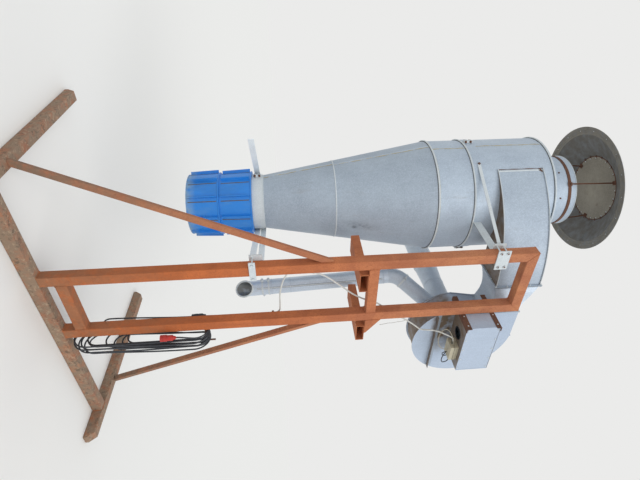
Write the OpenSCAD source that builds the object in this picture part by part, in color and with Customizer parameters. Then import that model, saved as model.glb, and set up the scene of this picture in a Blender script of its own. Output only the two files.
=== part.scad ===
// Cyclone separator on a free-standing steel frame, in millimetres.
// The origin is under the middle of the ground beam, +Z is up and the cyclone stands on the +Y side.

/* [Stand] */
// Width of the square tube of the stand
tube = 80; // [60:5:100]
// Height of the ground beam and of the two legs
base_h = 88; // [60:2:110]
// Distance over the outer faces of the two legs
base_w = 2396; // [2000:4:2800]
// Length of each leg
leg_len = 1750; // [1500:10:2100]
// How far each leg reaches in front of the ground beam's middle
leg_front = 290; // [200:10:400]
// Length of the sloping cut at the ends of the legs
leg_bevel = 45; // [20:5:80]
// Distance from the middle of the ground beam to the left post's outer face
left_post_out = 433; // [380:1:500]
// Clear width between the posts
post_gap = 441; // [400:1:480]
// Height of the frame's top above the ground
frame_h = 3605; // [3500:5:3700]
// Height of the middle rail's underside above the ground
mid_rail_z = 2358; // [2250:2:2450]
// Height of the middle rail's section
mid_rail_h = 75; // [60:1:90]
// Height of the low rail's underside above the ground
low_rail_z = 185; // [150:5:300]
// Width of the square tube of the braces
brace_w = 42; // [30:1:50]
// Height at which the left brace meets its post
left_brace_z = 2055; // [1800:5:2200]
// Height at which the right brace meets its post
right_brace_z = 2005; // [1800:5:2200]
// Distance of the left brace's foot behind the middle of the ground beam
left_brace_y = 235; // [200:5:400]
// Distance of the right brace's foot behind the middle of the ground beam
right_brace_y = 315; // [200:5:400]

/* [Fork pockets] */
// Outer width of a fork pocket
pocket_w = 164; // [140:2:180]
// Outer height of a fork pocket
pocket_h = 66; // [56:2:80]
// Wall of a fork pocket
pocket_wall = 6; // [4:1:8]
// Length of a fork pocket
pocket_len = 490; // [400:10:600]
// Gap between the left post and the left pocket
left_pocket_gap = 48; // [30:1:80]
// Gap between the right post and the right pocket
right_pocket_gap = 64; // [40:1:90]

/* [Cyclone] */
// Distance of the cyclone's axis to the left of the ground beam's middle
cyc_left = 378; // [340:1:420]
// Distance of the cyclone's axis behind the ground beam's middle
cyc_back = 897; // [860:1:940]
// Outer radius of the cylindrical shells
shell_r = 466; // [450:1:480]
// Thickness of the cyclone's sheet metal
sheet = 3; // [2:0.5:5]
// How far the rolled rims stand out of the shells
rim_out = 9; // [5:1:14]
// Height of a rolled rim
rim_h = 10; // [6:1:16]
// Height of the cone's top, where the lower shell ends
cone_top_z = 2980; // [2900:5:3050]
// Height of the rim between the two shells
mid_rim_z = 3270; // [3200:5:3300]
// Height of the roof
roof_z = 3938; // [3900:2:3960]
// Height of the seam between the two cones
cone_seam_z = 2187; // [2100:5:2300]
// Outer radius of the cone at its lower end
neck_r = 226; // [200:1:240]
// Height of the cone's lower end
neck_z = 1595; // [1580:5:1620]
// Outer radius of the outlet collar
collar_r = 300; // [260:1:330]
// Height of the outlet collar above the roof
collar_h = 280; // [200:5:320]

/* [Rain cap] */
// Outer radius of the rain cap
cap_r = 547; // [480:1:580]
// Height of the rain cap's rim
cap_z = 4450; // [4420:5:4500]
// Slope of the rain cap's hem in degrees
hem_slope = 12; // [6:1:20]
// Width of the rain cap's hem
hem_w = 62; // [30:1:80]
// Slope of the rain cap's cone in degrees
cap_slope = 31; // [24:1:36]
// Radius of the plate inside the rain cap
disc_r = 285; // [250:1:300]
// Radius of the three rods that carry the cap
rod_r = 6; // [4:0.5:8]

/* [Inlet] */
// Reach of the scroll in front of the cyclone's axis
scroll_reach = 747; // [700:1:780]
// Angle at which the scroll's wall leaves the shell, from the left
scroll_start = 30; // [25:1:35]
// Distance of the scroll's flange to the right of the cyclone's axis
flange_right = 444; // [430:1:460]
// Inner width of the inlet duct
inlet_w = 300; // [260:2:320]
// Height of the scroll's floor
inlet_z = 3475; // [3440:5:3500]
// Height of the inlet duct
inlet_h = 370; // [330:5:400]
// Width of the duct flanges
flange_w = 28; // [20:1:35]
// Thickness of the duct flanges
flange_t = 6; // [4:1:8]

/* [Fan] */
// Distance of the fan's shaft to the right of the ground beam's middle
fan_right = 587; // [570:1:600]
// Height of the fan's shaft
fan_z = 3190; // [3170:1:3210]
// Distance of the fan casing's front behind the ground beam's middle
fan_back = 60; // [50:1:80]
// Depth of the fan casing
fan_depth = 200; // [160:2:220]
// Smallest radius of the fan's scroll
fan_r = 362; // [340:1:380]
// Radius of the fan's scroll at its outlet
fan_out_r = 480; // [460:1:500]
// Height of the fan's outlet
fan_out_h = 305; // [290:1:320]
// Distance of the outlet flange to the left of the shaft
fan_out_left = 310; // [300:1:330]
// Overhang of the side plates past the wrap
plate_lip = 14; // [8:1:20]
// Thickness of the fan's side plates
plate_t = 4; // [3:0.5:6]

/* [Motor cover] */
// Width of the motor cover
cover_w = 508; // [480:2:540]
// Height of the motor cover
cover_h = 268; // [240:2:290]
// Distance of the cover's front in front of the ground beam's middle
cover_front = 188; // [150:1:220]
// Height of the cover's underside
cover_z = 3134; // [3110:1:3150]
// Leg of the angle irons that carry the fan
angle_w = 40; // [30:1:50]
// Thickness of the angle irons
angle_t = 4; // [3:0.5:6]
// Radius of the motor
motor_r = 98; // [80:1:105]

/* [Pipes] */
// Outer radius of the main pipe at the suction box
main_pipe_r = 92; // [85:1:100]
// Outer radius of the main pipe behind its coupling
wide_pipe_r = 108; // [102:1:120]
// Outer radius of the branch and the down pipe
branch_r = 69; // [60:1:75]
// Wall of the pipes
pipe_wall = 2.5; // [1.5:0.5:4]
// Height of the main pipe's axis
main_pipe_z = 3150; // [3140:1:3160]
// Direction of the main pipe in plan, from the right
main_heading = 88; // [84:1:92]
// Distance of the branch's bend to the right of the ground beam's middle
down_right = 276; // [260:2:290]
// Distance of the branch's bend behind the ground beam's middle
down_back = 590; // [570:5:620]
// Height of the branch's bend
bend_z = 2752; // [2730:2:2780]
// How far the down pipe leans to the right, in degrees
down_lean = 3.2; // [0:0.2:5]
// Middle radius of the branch's bend
bend_r = 180; // [160:5:220]
// Height of the middle of the down pipe's slanting mouth
mouth_z = 1370; // [1300:5:1450]
// Slope of the down pipe's mouth in degrees
mouth_slope = 48; // [0:2:55]

/* [Skirt] */
// Outer radius of the skirt's panels
skirt_r = 258; // [250:1:270]
// Height of one tier of the skirt
tier_h = 262; // [230:2:280]
// Thickness of the skirt's panels
skirt_t = 4; // [3:0.5:6]
// How far the ribs stand out of the panels
rib_out = 28; // [15:1:40]
// Thickness of a rib
rib_t = 7; // [4:1:10]
// Number of ribs round a tier
rib_count = 10; // [8:1:12]

/* [Cables] */
// Diameter of the motor's cable
cable_d = 12; // [8:1:16]
// Height of the hook for the coiled lead
hook_z = 1120; // [900:5:1300]
// Length of the hook
hook_len = 165; // [120:5:220]
// Width of the hank on the hook
hank_w = 130; // [90:5:150]
// Reach of the hank's round top to the front and the back
hank_r = 125; // [100:5:140]
// Thickness of the hank's bundle
hank_t = 40; // [30:5:50]
// Height of the hank's lower end above the ground
hank_low = 110; // [95:5:200]

/* [Hidden] */
$fn = 96;

// Places of the posts, seen from the front
left_x = -left_post_out;
right_x = left_x + 2 * tube + post_gap;
rear_y = tube / 2;

// Clearance of a piece that sits against another
seat = 0.3;

// Height of the straight neck below the cone
neck_h = 90;

// The cyclone's axis in plan
cyc = [-cyc_left, cyc_back];
rim_r = shell_r + rim_out;

// Colours of the finishes
rust_brown = "#b5643a";
dark_rust = "#7a4632";
galvanised = "#aeb6bc";
dull_zinc = "#9aa2a8";
sky_blue = "#2f7fd0";

// A square bar from p to q with spare length at both ends
module bar(p, q, w, d, spare = 0) {
    v = q - p;
    length = norm(v);
    translate(p)
        rotate([0, acos(v[2] / length), atan2(v[1], v[0])])
            translate([-w / 2, -d / 2, -spare])
                cube([w, d, length + 2 * spare]);
}

// A cylinder from p to q with spare length at both ends
module rod(p, q, r, spare = 0) {
    v = q - p;
    length = norm(v);
    translate(p)
        rotate([0, acos(v[2] / length), atan2(v[1], v[0])])
            translate([0, 0, -spare])
                cylinder(h = length + 2 * spare, r = r);
}

// A thin-walled tube or cone round the cyclone's axis, by its outer radii
module shell(z0, z1, r0, r1) {
    translate([cyc[0], cyc[1], z0])
        difference() {
            cylinder(h = z1 - z0, r1 = r0, r2 = r1);
            translate([0, 0, -1])
                cylinder(h = z1 - z0 + 2, r1 = r0 - sheet - (r1 - r0) / (z1 - z0),
                    r2 = r1 - sheet + (r1 - r0) / (z1 - z0));
        }
}

// A flat ring round the cyclone's axis
module ring(z, h, inner, outer) {
    translate([cyc[0], cyc[1], z])
        difference() {
            cylinder(h = h, r = outer);
            translate([0, 0, -1])
                cylinder(h = h + 2, r = inner);
        }
}

// A bolt across the Y direction with a hexagon head in front
module front_bolt(x, y, z, length, across = 16) {
    translate([x, y, z])
        rotate([-90, 0, 0]) {
            cylinder(h = length, r = across / 3);
            translate([0, 0, -8])
                cylinder(h = 8, d = across / cos(30), $fn = 6);
        }
}

// Stand

module base_beam() {
    color("#8a4f33")
        translate([-base_w / 2 + tube, -tube / 2, 0])
            cube([base_w - 2 * tube, tube, base_h]);
}

// A leg along Y with a sloping cut at both ends
module leg(x) {
    toe_h = base_h / 3;
    color("#8a4f33")
        translate([x, -leg_front, 0])
            rotate([90, 0, 90])
                linear_extrude(tube)
                    polygon([[0, 0], [leg_len, 0], [leg_len, toe_h], [leg_len - leg_bevel, base_h],
                        [leg_bevel, base_h], [0, toe_h]]);
}

module left_leg() leg(-base_w / 2);

module right_leg() leg(base_w / 2 - tube);

// A post whose outer side is given by x and whose top is mitred towards the other post
module post(x, side) {
    color(rust_brown)
        translate([x, rear_y, base_h])
            rotate([90, 0, 0])
                linear_extrude(tube)
                    polygon([[0, 0], [side * tube, 0], [side * tube, frame_h - base_h - tube],
                        [0, frame_h - base_h]]);
}

module left_post() post(left_x, 1);

module right_post() post(right_x, -1);

module top_rail() {
    color(rust_brown)
        translate([0, rear_y, 0])
            rotate([90, 0, 0])
                linear_extrude(tube)
                    polygon([[left_x, frame_h], [left_x + tube, frame_h - tube],
                        [right_x - tube, frame_h - tube], [right_x, frame_h]]);
}

module cross_rail(z, h) {
    color(rust_brown)
        translate([left_x + tube, -tube / 2, z])
            cube([post_gap, tube, h]);
}

module mid_rail() cross_rail(mid_rail_z, mid_rail_h);

module low_rail() cross_rail(low_rail_z, tube);

// A brace from the top of a leg to the outer face of a post, cut flush at both
module brace(foot_x, foot_y, face_x, top_z, side) {
    reach = 6 * brace_w;
    color(rust_brown)
        difference() {
            bar([foot_x, foot_y, base_h], [face_x, 0, top_z], brace_w, brace_w, brace_w);
            translate([foot_x - reach, foot_y - reach, base_h - reach])
                cube([2 * reach, 2 * reach, reach]);
            translate([side > 0 ? face_x - reach : face_x, -reach, top_z - 2 * reach])
                cube([reach, 2 * reach, 4 * reach]);
        }
}

module left_brace() brace(-base_w / 2 + tube / 2, left_brace_y, left_x, left_brace_z, -1);

module right_brace() brace(base_w / 2 - tube / 2, right_brace_y, right_x, right_brace_z, 1);

// Fork pockets

module fork_pocket(x) {
    color("#a85a35")
        translate([x, -tube / 2, mid_rail_z - pocket_h])
            difference() {
                cube([pocket_w, pocket_len, pocket_h]);
                translate([pocket_wall, -1, pocket_wall])
                    cube([pocket_w - 2 * pocket_wall, pocket_len + 2, pocket_h - 2 * pocket_wall]);
            }
}

module left_fork_pocket() fork_pocket(left_x + tube + left_pocket_gap);

module right_fork_pocket() fork_pocket(right_x + right_pocket_gap);

// The sloping stub of rail outside the right post that carries the right pocket
module pocket_stub() {
    reach = right_pocket_gap + pocket_w / 2;
    color(rust_brown)
        translate([right_x, rear_y, mid_rail_z])
            rotate([90, 0, 0])
                linear_extrude(tube)
                    polygon([[0, 0], [reach, 0], [reach, stub_tip_h], [0, mid_rail_h + stub_rise]]);
}

stub_tip_h = 12;
stub_rise = 50;

// Cyclone body

// The part of the shell's plan that opens into the scroll
module window_wedge() {
    first = 180 + scroll_start + 2 * seam_turn;
    last = 360 - asin((scroll_reach - inlet_w) / shell_r) - seam_turn;
    translate(cyc)
        polygon([[0, 0], 2 * shell_r * [cos(first), sin(first)],
            3 * shell_r * [cos((first + last) / 2), sin((first + last) / 2)],
            2 * shell_r * [cos(last), sin(last)]]);
}

module upper_shell() {
    color(galvanised) {
        difference() {
            shell(mid_rim_z + rim_h, roof_z, shell_r, shell_r);
            translate([0, 0, inlet_z + sheet])
                linear_extrude(inlet_h - 2 * sheet)
                    window_wedge();
        }
        ring(roof_z - rim_h, rim_h, shell_r - sheet / 2, rim_r);
    }
}

module lower_shell() {
    color(galvanised) {
        shell(cone_top_z + rim_h, mid_rim_z + rim_h, shell_r, shell_r);
        ring(mid_rim_z, rim_h, shell_r - sheet / 2, rim_r);
    }
}

// Outer radius of the cone at a height
function cone_r(z) = neck_r + (shell_r - neck_r) * (z - neck_z) / (cone_top_z - neck_z);

module upper_cone() {
    color(galvanised) {
        shell(cone_seam_z, cone_top_z + rim_h, cone_r(cone_seam_z), cone_r(cone_top_z + rim_h));
        ring(cone_top_z, rim_h, shell_r - sheet / 2, rim_r);
    }
}

module lower_cone() {
    color(galvanised) {
        shell(neck_z, cone_seam_z, neck_r, cone_r(cone_seam_z));
        shell(neck_z - neck_h, neck_z, neck_r, neck_r);
    }
}

module roof_plate() {
    color(galvanised)
        ring(roof_z, sheet, collar_r - sheet, rim_r);
}

module outlet_collar() {
    color(galvanised)
        ring(roof_z + sheet, collar_h, collar_r - sheet, collar_r);
}

// Rain cap

strap_h = 26;
strap_t = 4;
strap_below = 70;
strap_z = roof_z + collar_h - strap_below;
rod_angles = [-130, -10, 110];
foot_w = 34;
foot_t = 5;
point_r = 20;
hem_rise = hem_w * tan(hem_slope);
disc_z = cap_z + hem_rise + (cap_r - hem_w - disc_r) * tan(cap_slope);

module collar_strap() {
    color(dark_rust)
        ring(strap_z, strap_h, collar_r, collar_r + strap_t);
}

// A flat hem, then a steeper cone up to a blunt point
module rain_cap() {
    point_z = hem_rise + (cap_r - hem_w - point_r) * tan(cap_slope);
    color(dull_zinc)
        translate([cyc[0], cyc[1], cap_z])
            rotate_extrude()
                polygon([[cap_r, 0], [cap_r, sheet], [cap_r - hem_w, hem_rise + sheet],
                    [point_r, point_z + sheet], [0, point_z + sheet], [0, point_z],
                    [point_r, point_z], [cap_r - hem_w, hem_rise]]);
}

// The plate that closes the cap's point from below
module cap_disc() {
    color(dull_zinc)
        translate([cyc[0], cyc[1], disc_z - sheet])
            cylinder(h = sheet, r = disc_r);
}

// Three rods from the strap up to the plate in the cap, each with a flat foot and a flat head
module cap_rods() {
    low = [collar_r + strap_t + foot_t + rod_r, 0, strap_z + strap_h / 2];
    high = [disc_r - foot_w / 2, 0, disc_z - sheet - foot_t];
    color(dark_rust)
        for (a = rod_angles)
            translate([cyc[0], cyc[1], 0])
                rotate([0, 0, a]) {
                    translate([collar_r + strap_t, -foot_w / 2, strap_z - foot_t])
                        cube([foot_t, foot_w, strap_h + 2 * foot_t]);
                    rod(low, high, rod_r);
                    translate(high - [foot_w / 2, foot_w / 2, 0])
                        cube([foot_w, foot_w, foot_t]);
                }
}

// Inlet scroll

// The scroll's wall lies on a large circle that touches the shell from outside at one point
seam_turn = 6;
lip = 9;
flange_x = cyc[0] + flange_right;
inlet_y0 = cyc[1] - scroll_reach;
inlet_y1 = inlet_y0 + inlet_w;
inlet_top = inlet_z + inlet_h;
scroll_shift = (scroll_reach - shell_r) / (1 - sin(scroll_start));
scroll_r = shell_r + scroll_shift;
scroll_mid = cyc + scroll_shift * [cos(scroll_start), sin(scroll_start)];

// The plan inside the scroll's circle: the crescent left of the axis and the duct right of it
module scroll_plan(grow, duct_end) {
    front = inlet_y0 - shell_r;
    tangent_y = cyc[1] - shell_r * sin(scroll_start + seam_turn);
    intersection() {
        translate(scroll_mid)
            circle(r = scroll_r + grow, $fn = 240);
        union() {
            translate([cyc[0] - 2 * shell_r, front])
                square([2 * shell_r, tangent_y - front]);
            translate([cyc[0] - 1, front])
                square([duct_end - cyc[0] + 1, inlet_y1 + grow - front]);
        }
    }
}

module shell_plan() {
    translate(cyc)
        circle(r = shell_r);
}

// Curved near wall, straight far wall and the roof with its lip
module inlet_scroll() {
    color(galvanised) {
        translate([0, 0, inlet_z])
            linear_extrude(inlet_h)
                difference() {
                    scroll_plan(0, flange_x);
                    scroll_plan(-sheet, flange_x + 1);
                    shell_plan();
                }
        translate([0, 0, inlet_top - sheet])
            linear_extrude(sheet)
                difference() {
                    scroll_plan(lip, flange_x);
                    shell_plan();
                }
    }
}

module scroll_floor() {
    color("#7d6a58")
        translate([0, 0, inlet_z - sheet])
            linear_extrude(sheet)
                difference() {
                    scroll_plan(lip, flange_x);
                    shell_plan();
                }
}

// Duct to the fan

out_x = fan_right - fan_out_left;
out_y0 = fan_back;
out_y1 = fan_back + fan_depth;
out_z1 = fan_z + fan_out_r;
out_z0 = out_z1 - fan_out_h;

// A rectangular frame that stands round a duct's mouth
module duct_frame(x, y0, y1, z0, z1) {
    difference() {
        translate([x, y0 - flange_w, z0 - flange_w])
            cube([2 * flange_t, y1 - y0 + 2 * flange_w, z1 - z0 + 2 * flange_w]);
        translate([x - 1, y0, z0])
            cube([2 * flange_t + 2, y1 - y0, z1 - z0]);
    }
}

// The frame at the fan is cut away where the casing's scroll stands out past it
module duct_flanges() {
    color(dull_zinc) {
        duct_frame(flange_x, inlet_y0 + sheet, inlet_y1 - sheet, inlet_z, inlet_top - sheet);
        difference() {
            duct_frame(out_x - 2 * flange_t, out_y0 + sheet, out_y1 - sheet, out_z0 + sheet, out_z1 - sheet);
            translate([fan_right, out_y1 + plate_t + seat, fan_z])
                rotate([90, 0, 0])
                    cylinder(h = out_y1 - out_y0 + 2 * plate_t + 2 * seat, r = fan_r + plate_lip + seat);
        }
    }
}

// The transition's corners at a share t of its length, let in by the wall's thickness
duct_x0 = flange_x + 2 * flange_t;
duct_x1 = out_x - 2 * flange_t;
duct_steps = 10;
function mix(a, b, t) = a + (b - a) * t;
function smooth(t) = t * t * (3 - 2 * t);
function duct_corners(t, inset) = let (
        x = mix(duct_x0, duct_x1, t),
        s = smooth(t),
        y0 = mix(inlet_y0, out_y0, s) + inset,
        y1 = mix(inlet_y1, out_y1, s) - inset,
        z0 = mix(inlet_z, out_z0, smooth(t * t)) + inset,
        z1 = mix(inlet_top, out_z1, s) - inset)
    [[x, y0, z0], [x, y1, z0], [x, y1, z1], [x, y0, z1]];

module transition_duct() {
    outer = [for (i = [0:duct_steps]) each duct_corners(i / duct_steps, 0)];
    inner = [for (i = [0:duct_steps]) each duct_corners(i / duct_steps, sheet)];
    shift = 4 * (duct_steps + 1);
    end = 4 * duct_steps;
    sides = [for (i = [0:duct_steps - 1], k = [0:3]) let (a = 4 * i + k, b = 4 * i + (k + 1) % 4)
        each [[a, b, b + 4], [a, b + 4, a + 4],
            [shift + b, shift + a, shift + a + 4], [shift + b, shift + a + 4, shift + b + 4]]];
    ends = [for (k = [0:3]) let (n = (k + 1) % 4)
        each [[k, shift + k, shift + n], [k, shift + n, n],
            [end + n, shift + end + n, shift + end + k], [end + n, shift + end + k, end + k]]];
    color(dull_zinc)
        polyhedron(points = concat(outer, inner), faces = concat(sides, ends), convexity = 4);
}

// Fan

tongue = asin((out_z0 - fan_z) / fan_r);
spiral_turn = 180;
side_y0 = out_y0 - plate_t;
side_y1 = out_y1 + plate_t;
eye_r = 150;
shaft_hole_r = 26;

// Radius of the fan's scroll at an angle from the shaft, greatest at the top
function volute_r(a) = a > -90 ? mix(fan_r, fan_out_r, pow((a + 90) / spiral_turn, 2)) : fan_r;

// The scroll's outline from the outlet over the top and round to the tongue
function volute(grow) = concat(
    [[-fan_out_left, fan_out_r + grow]],
    [for (a = [90:-6:-174]) (volute_r(a) + grow) * [cos(a), sin(a)]],
    [(fan_r + grow) * [-cos(tongue), sin(tongue)], [-fan_out_left, (fan_r + grow) * sin(tongue)]]);

function reversed(list) = [for (i = [len(list) - 1:-1:0]) list[i]];

// Stands a plan in the XZ plane at the fan's shaft, from y0 over a depth
module upright(y0, depth) {
    translate([fan_right, y0 + depth, fan_z])
        rotate([90, 0, 0])
            linear_extrude(depth)
                children();
}

module fan_wrap() {
    color(galvanised) {
        upright(out_y0, fan_depth)
            polygon(concat(volute(0), reversed(volute(-sheet))));
        // Lug where the straight outlet joins the scroll
        upright(out_y0, fan_depth)
            translate([-flange_t / 2, fan_out_r - 1])
                square([flange_t, flange_w]);
    }
}

module fan_front_plate() {
    color(galvanised)
        upright(side_y0, plate_t)
            difference() {
                polygon(volute(plate_lip));
                circle(r = shaft_hole_r);
            }
}

module fan_back_plate() {
    color(galvanised)
        upright(out_y1, plate_t)
            difference() {
                polygon(volute(plate_lip));
                circle(r = eye_r);
            }
}

// An angle iron across the front plate below the shaft
stiffener_drop = 205;
module fan_stiffener() {
    half = sqrt(pow(fan_r + plate_lip, 2) - pow(stiffener_drop, 2)) + plate_lip;
    color(dull_zinc)
        translate([fan_right - half, side_y0 - angle_w, fan_z - stiffener_drop])
            difference() {
                cube([2 * half, angle_w, angle_w]);
                translate([-1, -1, angle_t])
                    cube([2 * half + 2, angle_w - angle_t + 1, angle_w]);
            }
}

// Motor cover

cover_x = right_x + angle_t;
cover_y = -cover_front;
cover_back = side_y0;
hole_at = [182, 120];
hole_r = 52;
box_size = [150, 110, 66];
box_at = [270, 40];
gland_r = 11;
gland_len = 22;
gland_drop = 38;

// A sheet-metal box with a round hole in its floor
module motor_cover() {
    depth = cover_back - cover_y;
    color(galvanised)
        translate([cover_x, cover_y, cover_z])
            difference() {
                cube([cover_w, depth, cover_h]);
                translate([sheet, sheet, sheet])
                    cube([cover_w - 2 * sheet, depth, cover_h - 2 * sheet]);
                translate([hole_at[0], hole_at[1], -1])
                    cylinder(h = sheet + 2, r = hole_r);
            }
}

// The motor hangs on the fan's front plate, inside the cover
motor_rise = 70;
motor_right = 60;
motor_gap = 30;
motor_flange = [12, 14];
module motor() {
    length = cover_back - cover_y - motor_gap;
    color("#5f6d74")
        translate([cover_x + cover_w / 2 + motor_right, cover_back, fan_z + motor_rise])
            rotate([90, 0, 0]) {
                cylinder(h = motor_flange[1], r = motor_r + motor_flange[0]);
                cylinder(h = length, r = motor_r);
            }
}

// A box under the cover's floor with a cable gland on its left side
module terminal_box() {
    color("#cfc8b4")
        translate([cover_x + box_at[0], cover_y + box_at[1], cover_z - box_size[2]]) {
            cube(box_size);
            translate([-gland_len, box_size[1] / 2, box_size[2] - gland_drop])
                rotate([0, 90, 0])
                    cylinder(h = gland_len + 1, r = gland_r);
        }
}

// Two angle irons along the right post's outer side, under and over the motor cover
rail_front = 12;
rail_len = 368;

module angle_iron(flip) {
    cube([angle_t, rail_len, angle_w]);
    translate([0, 0, flip ? angle_w - angle_t : 0])
        cube([angle_w, rail_len, angle_t]);
}

module fan_rails() {
    color(dark_rust) {
        translate([right_x, cover_y - rail_front, cover_z - angle_t])
            angle_iron(false);
        translate([right_x, cover_y - rail_front, cover_z + cover_h + angle_t - angle_w])
            angle_iron(true);
    }
}

// Pipes

box_depth = 60;
box_left = 230;
box_right = 190;
box_low = 235;
box_high = 70;
suction_y = side_y1 + box_depth;

module suction_box() {
    color(dull_zinc)
        difference() {
            translate([fan_right - box_left, side_y1, fan_z - box_low])
                cube([box_left + box_right, box_depth, box_low + box_high]);
            translate([fan_right - box_left + sheet, side_y1 - 1, fan_z - box_low + sheet])
                cube([box_left + box_right - 2 * sheet, box_depth - sheet + 1,
                    box_low + box_high - 2 * sheet]);
            wye(pipe_wall);
        }
}

// A level unit vector at an angle from the right
function heading_of(a) = [cos(a), sin(a), 0];
function unit(v) = v / norm(v);

// Turns that carry the axes X, Y and Z to a given frame
function frame_turn(ex, ey, ez) = [atan2(ey[2], ez[2]), -asin(ex[2]), atan2(ex[1], ex[0])];

main_dir = heading_of(main_heading);
main_pipe_left = 127;
branch_shift = [14, 0, -67];
main_start = [fan_right - main_pipe_left, suction_y, main_pipe_z];
stub_len = 350;
cone_len = 260;
wide_len = 460;
down_dir = [sin(down_lean), 0, -cos(down_lean)];
corner = [down_right, down_back, bend_z];
branch_start = main_start + branch_shift;
branch_dir = unit(corner - branch_start);
elbow_turn = acos(branch_dir * down_dir);
elbow_side = bend_r * tan(elbow_turn / 2);
branch_end = corner - elbow_side * branch_dir;
down_start = corner + elbow_side * down_dir;
down_end = corner + (bend_z - mouth_z) / cos(down_lean) * down_dir;

// The outline of the two pipes that leave the suction box together, let in by the wall
module wye(inset) {
    rod(main_start - main_pipe_r * main_dir, main_start + (stub_len + (inset > 0 ? 1 : 0)) * main_dir,
        main_pipe_r - inset);
    rod(branch_start - 2.5 * branch_r * branch_dir, branch_end + (inset > 0 ? 1 : 0) * branch_dir,
        branch_r - inset);
}

module suction_pipe() {
    reach = 5 * main_pipe_r;
    color(dull_zinc)
        difference() {
            wye(0);
            wye(pipe_wall);
            translate([main_start[0] - reach, suction_y - reach, main_pipe_z - reach])
                cube([2 * reach, reach, 2 * reach]);
        }
}

// Widens behind the stub and ends in an open mouth
module main_pipe() {
    ends = [stub_len, stub_len + cone_len, stub_len + cone_len + wide_len];
    color(dull_zinc)
        translate(main_start)
            rotate([0, 0, main_heading])
                rotate([0, 90, 0])
                    rotate_extrude()
                        polygon([[main_pipe_r, ends[0]], [wide_pipe_r, ends[1]], [wide_pipe_r, ends[2]],
                            [wide_pipe_r - pipe_wall, ends[2]], [wide_pipe_r - pipe_wall, ends[1]],
                            [main_pipe_r - pipe_wall, ends[0]]]);
}

// The smooth bend between the branch and the down pipe
module branch_pipe() {
    side = unit(down_dir - (branch_dir * down_dir) * branch_dir);
    color(dull_zinc)
        translate(branch_end + bend_r * side)
            rotate(frame_turn(-side, branch_dir, cross(branch_dir, side)))
                rotate_extrude(angle = elbow_turn)
                    translate([bend_r, 0])
                        difference() {
                            circle(r = branch_r);
                            circle(r = branch_r - pipe_wall);
                        }
}

// Leans a little and is cut to a slanting mouth that faces the front left
module down_pipe() {
    reach = 6 * branch_r;
    color(dull_zinc)
        difference() {
            rod(down_start, down_end + 2 * branch_r * down_dir, branch_r);
            rod(down_start, down_end + 2 * branch_r * down_dir, branch_r - pipe_wall, 1);
            translate(down_end)
                rotate([0, 0, 45])
                    rotate([0, mouth_slope, 0])
                        translate([-reach, -reach, -reach])
                            cube([2 * reach, 2 * reach, reach]);
        }
}

bead_h = 14;
bead_t = 5;
bead_at = [176, 232];

// A bead round a pipe from p in direction dir
module bead(p, dir, r, h) {
    difference() {
        rod(p, p + h * dir, r + bead_t);
        rod(p, p + h * dir, r, 1);
    }
}

module pipe_couplings() {
    color(galvanised) {
        for (d = bead_at)
            bead(down_end - d * down_dir, down_dir, branch_r, bead_h);
        bead(branch_end - bead_h * branch_dir, branch_dir, branch_r, bead_h);
        bead(main_start + (stub_len + cone_len) * main_dir, main_dir, wide_pipe_r, bead_h);
    }
}

// Holders at the top

band_t = 5;
band_h = 82;
band_z = mid_rim_z + rim_h;
clamp_z = 3280;
clamp_h = 95;
clamp_t = 8;
clamp_left = 38;
clamp_right = 50;

module upper_band() {
    color(galvanised)
        ring(band_z, band_h, shell_r, shell_r + band_t);
}

// Two plates on the left post's front and back, drawn together by bolts
module post_clamp(z, h, back_h, left, right, rows) {
    x0 = left_x - left;
    w = tube + left + right;
    translate([x0, -tube / 2 - clamp_t, z])
        cube([w, clamp_t, h]);
    translate([x0, tube / 2, z])
        cube([w, clamp_t, back_h]);
    for (x = [x0 + left / 2, x0 + w - right / 2], k = rows)
        front_bolt(x, -tube / 2 - clamp_t, z + h * k, tube + 2 * clamp_t);
}

module upper_clamp() {
    color(galvanised)
        post_clamp(clamp_z, clamp_h, clamp_h, clamp_left, clamp_right, [0.25, 0.75]);
}

bracket_t = 6;
bracket_drop = 60;

// A folded plate from the clamp's back to the band on the shell
bracket_x = left_x + 33;
module clamp_bracket() {
    near_y = rear_y + clamp_t;
    reach = cyc[1] - shell_r - near_y;
    color(galvanised)
        difference() {
            union() {
                translate([bracket_x, near_y, clamp_z])
                    cube([bracket_t, reach, bracket_drop]);
                translate([bracket_x, near_y, clamp_z + bracket_drop - bracket_t])
                    cube([angle_w, reach, bracket_t]);
            }
            translate([cyc[0], cyc[1], clamp_z - 1])
                cylinder(h = bracket_drop + 2, r = shell_r + band_t);
        }
}

// The point where a line from p touches a circle round the cyclone's axis, on one side
function touch(p, r, side) = let (
        v = p - cyc,
        a = atan2(v[1], v[0]) + side * acos(r / norm(v)))
    cyc + r * [cos(a), sin(a)];

// A flat bar on edge from plan point p to where it touches a circle of radius r
module flat_bar(p, r, side, z, h, t) {
    q = touch(p, r + t / 2, side);
    bar([p[0], p[1], z + h / 2], [q[0], q[1], z + h / 2], h, t);
}

// A flat tie from the clamp to the band on the shell's front left
tie_h = 26;
tie_t = 6;
module tie_bar() {
    color(galvanised)
        flat_bar([left_x - clamp_left / 2, rear_y + clamp_t + tie_t], shell_r + band_t, -1,
            clamp_z + clamp_h / 2 - tie_h / 2, tie_h, tie_t);
}

// Holders at the bottom

bar_h = 46;
bar_t = 6;
bar_gap = 2;
free_arm_reach = [691, 239];
free_arm = cyc - free_arm_reach;
lower_clamp_z = neck_z - neck_h;

module cone_band() {
    color(galvanised)
        ring(neck_z - neck_h + 1, neck_h - 1, neck_r, neck_r + bar_t);
}

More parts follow.
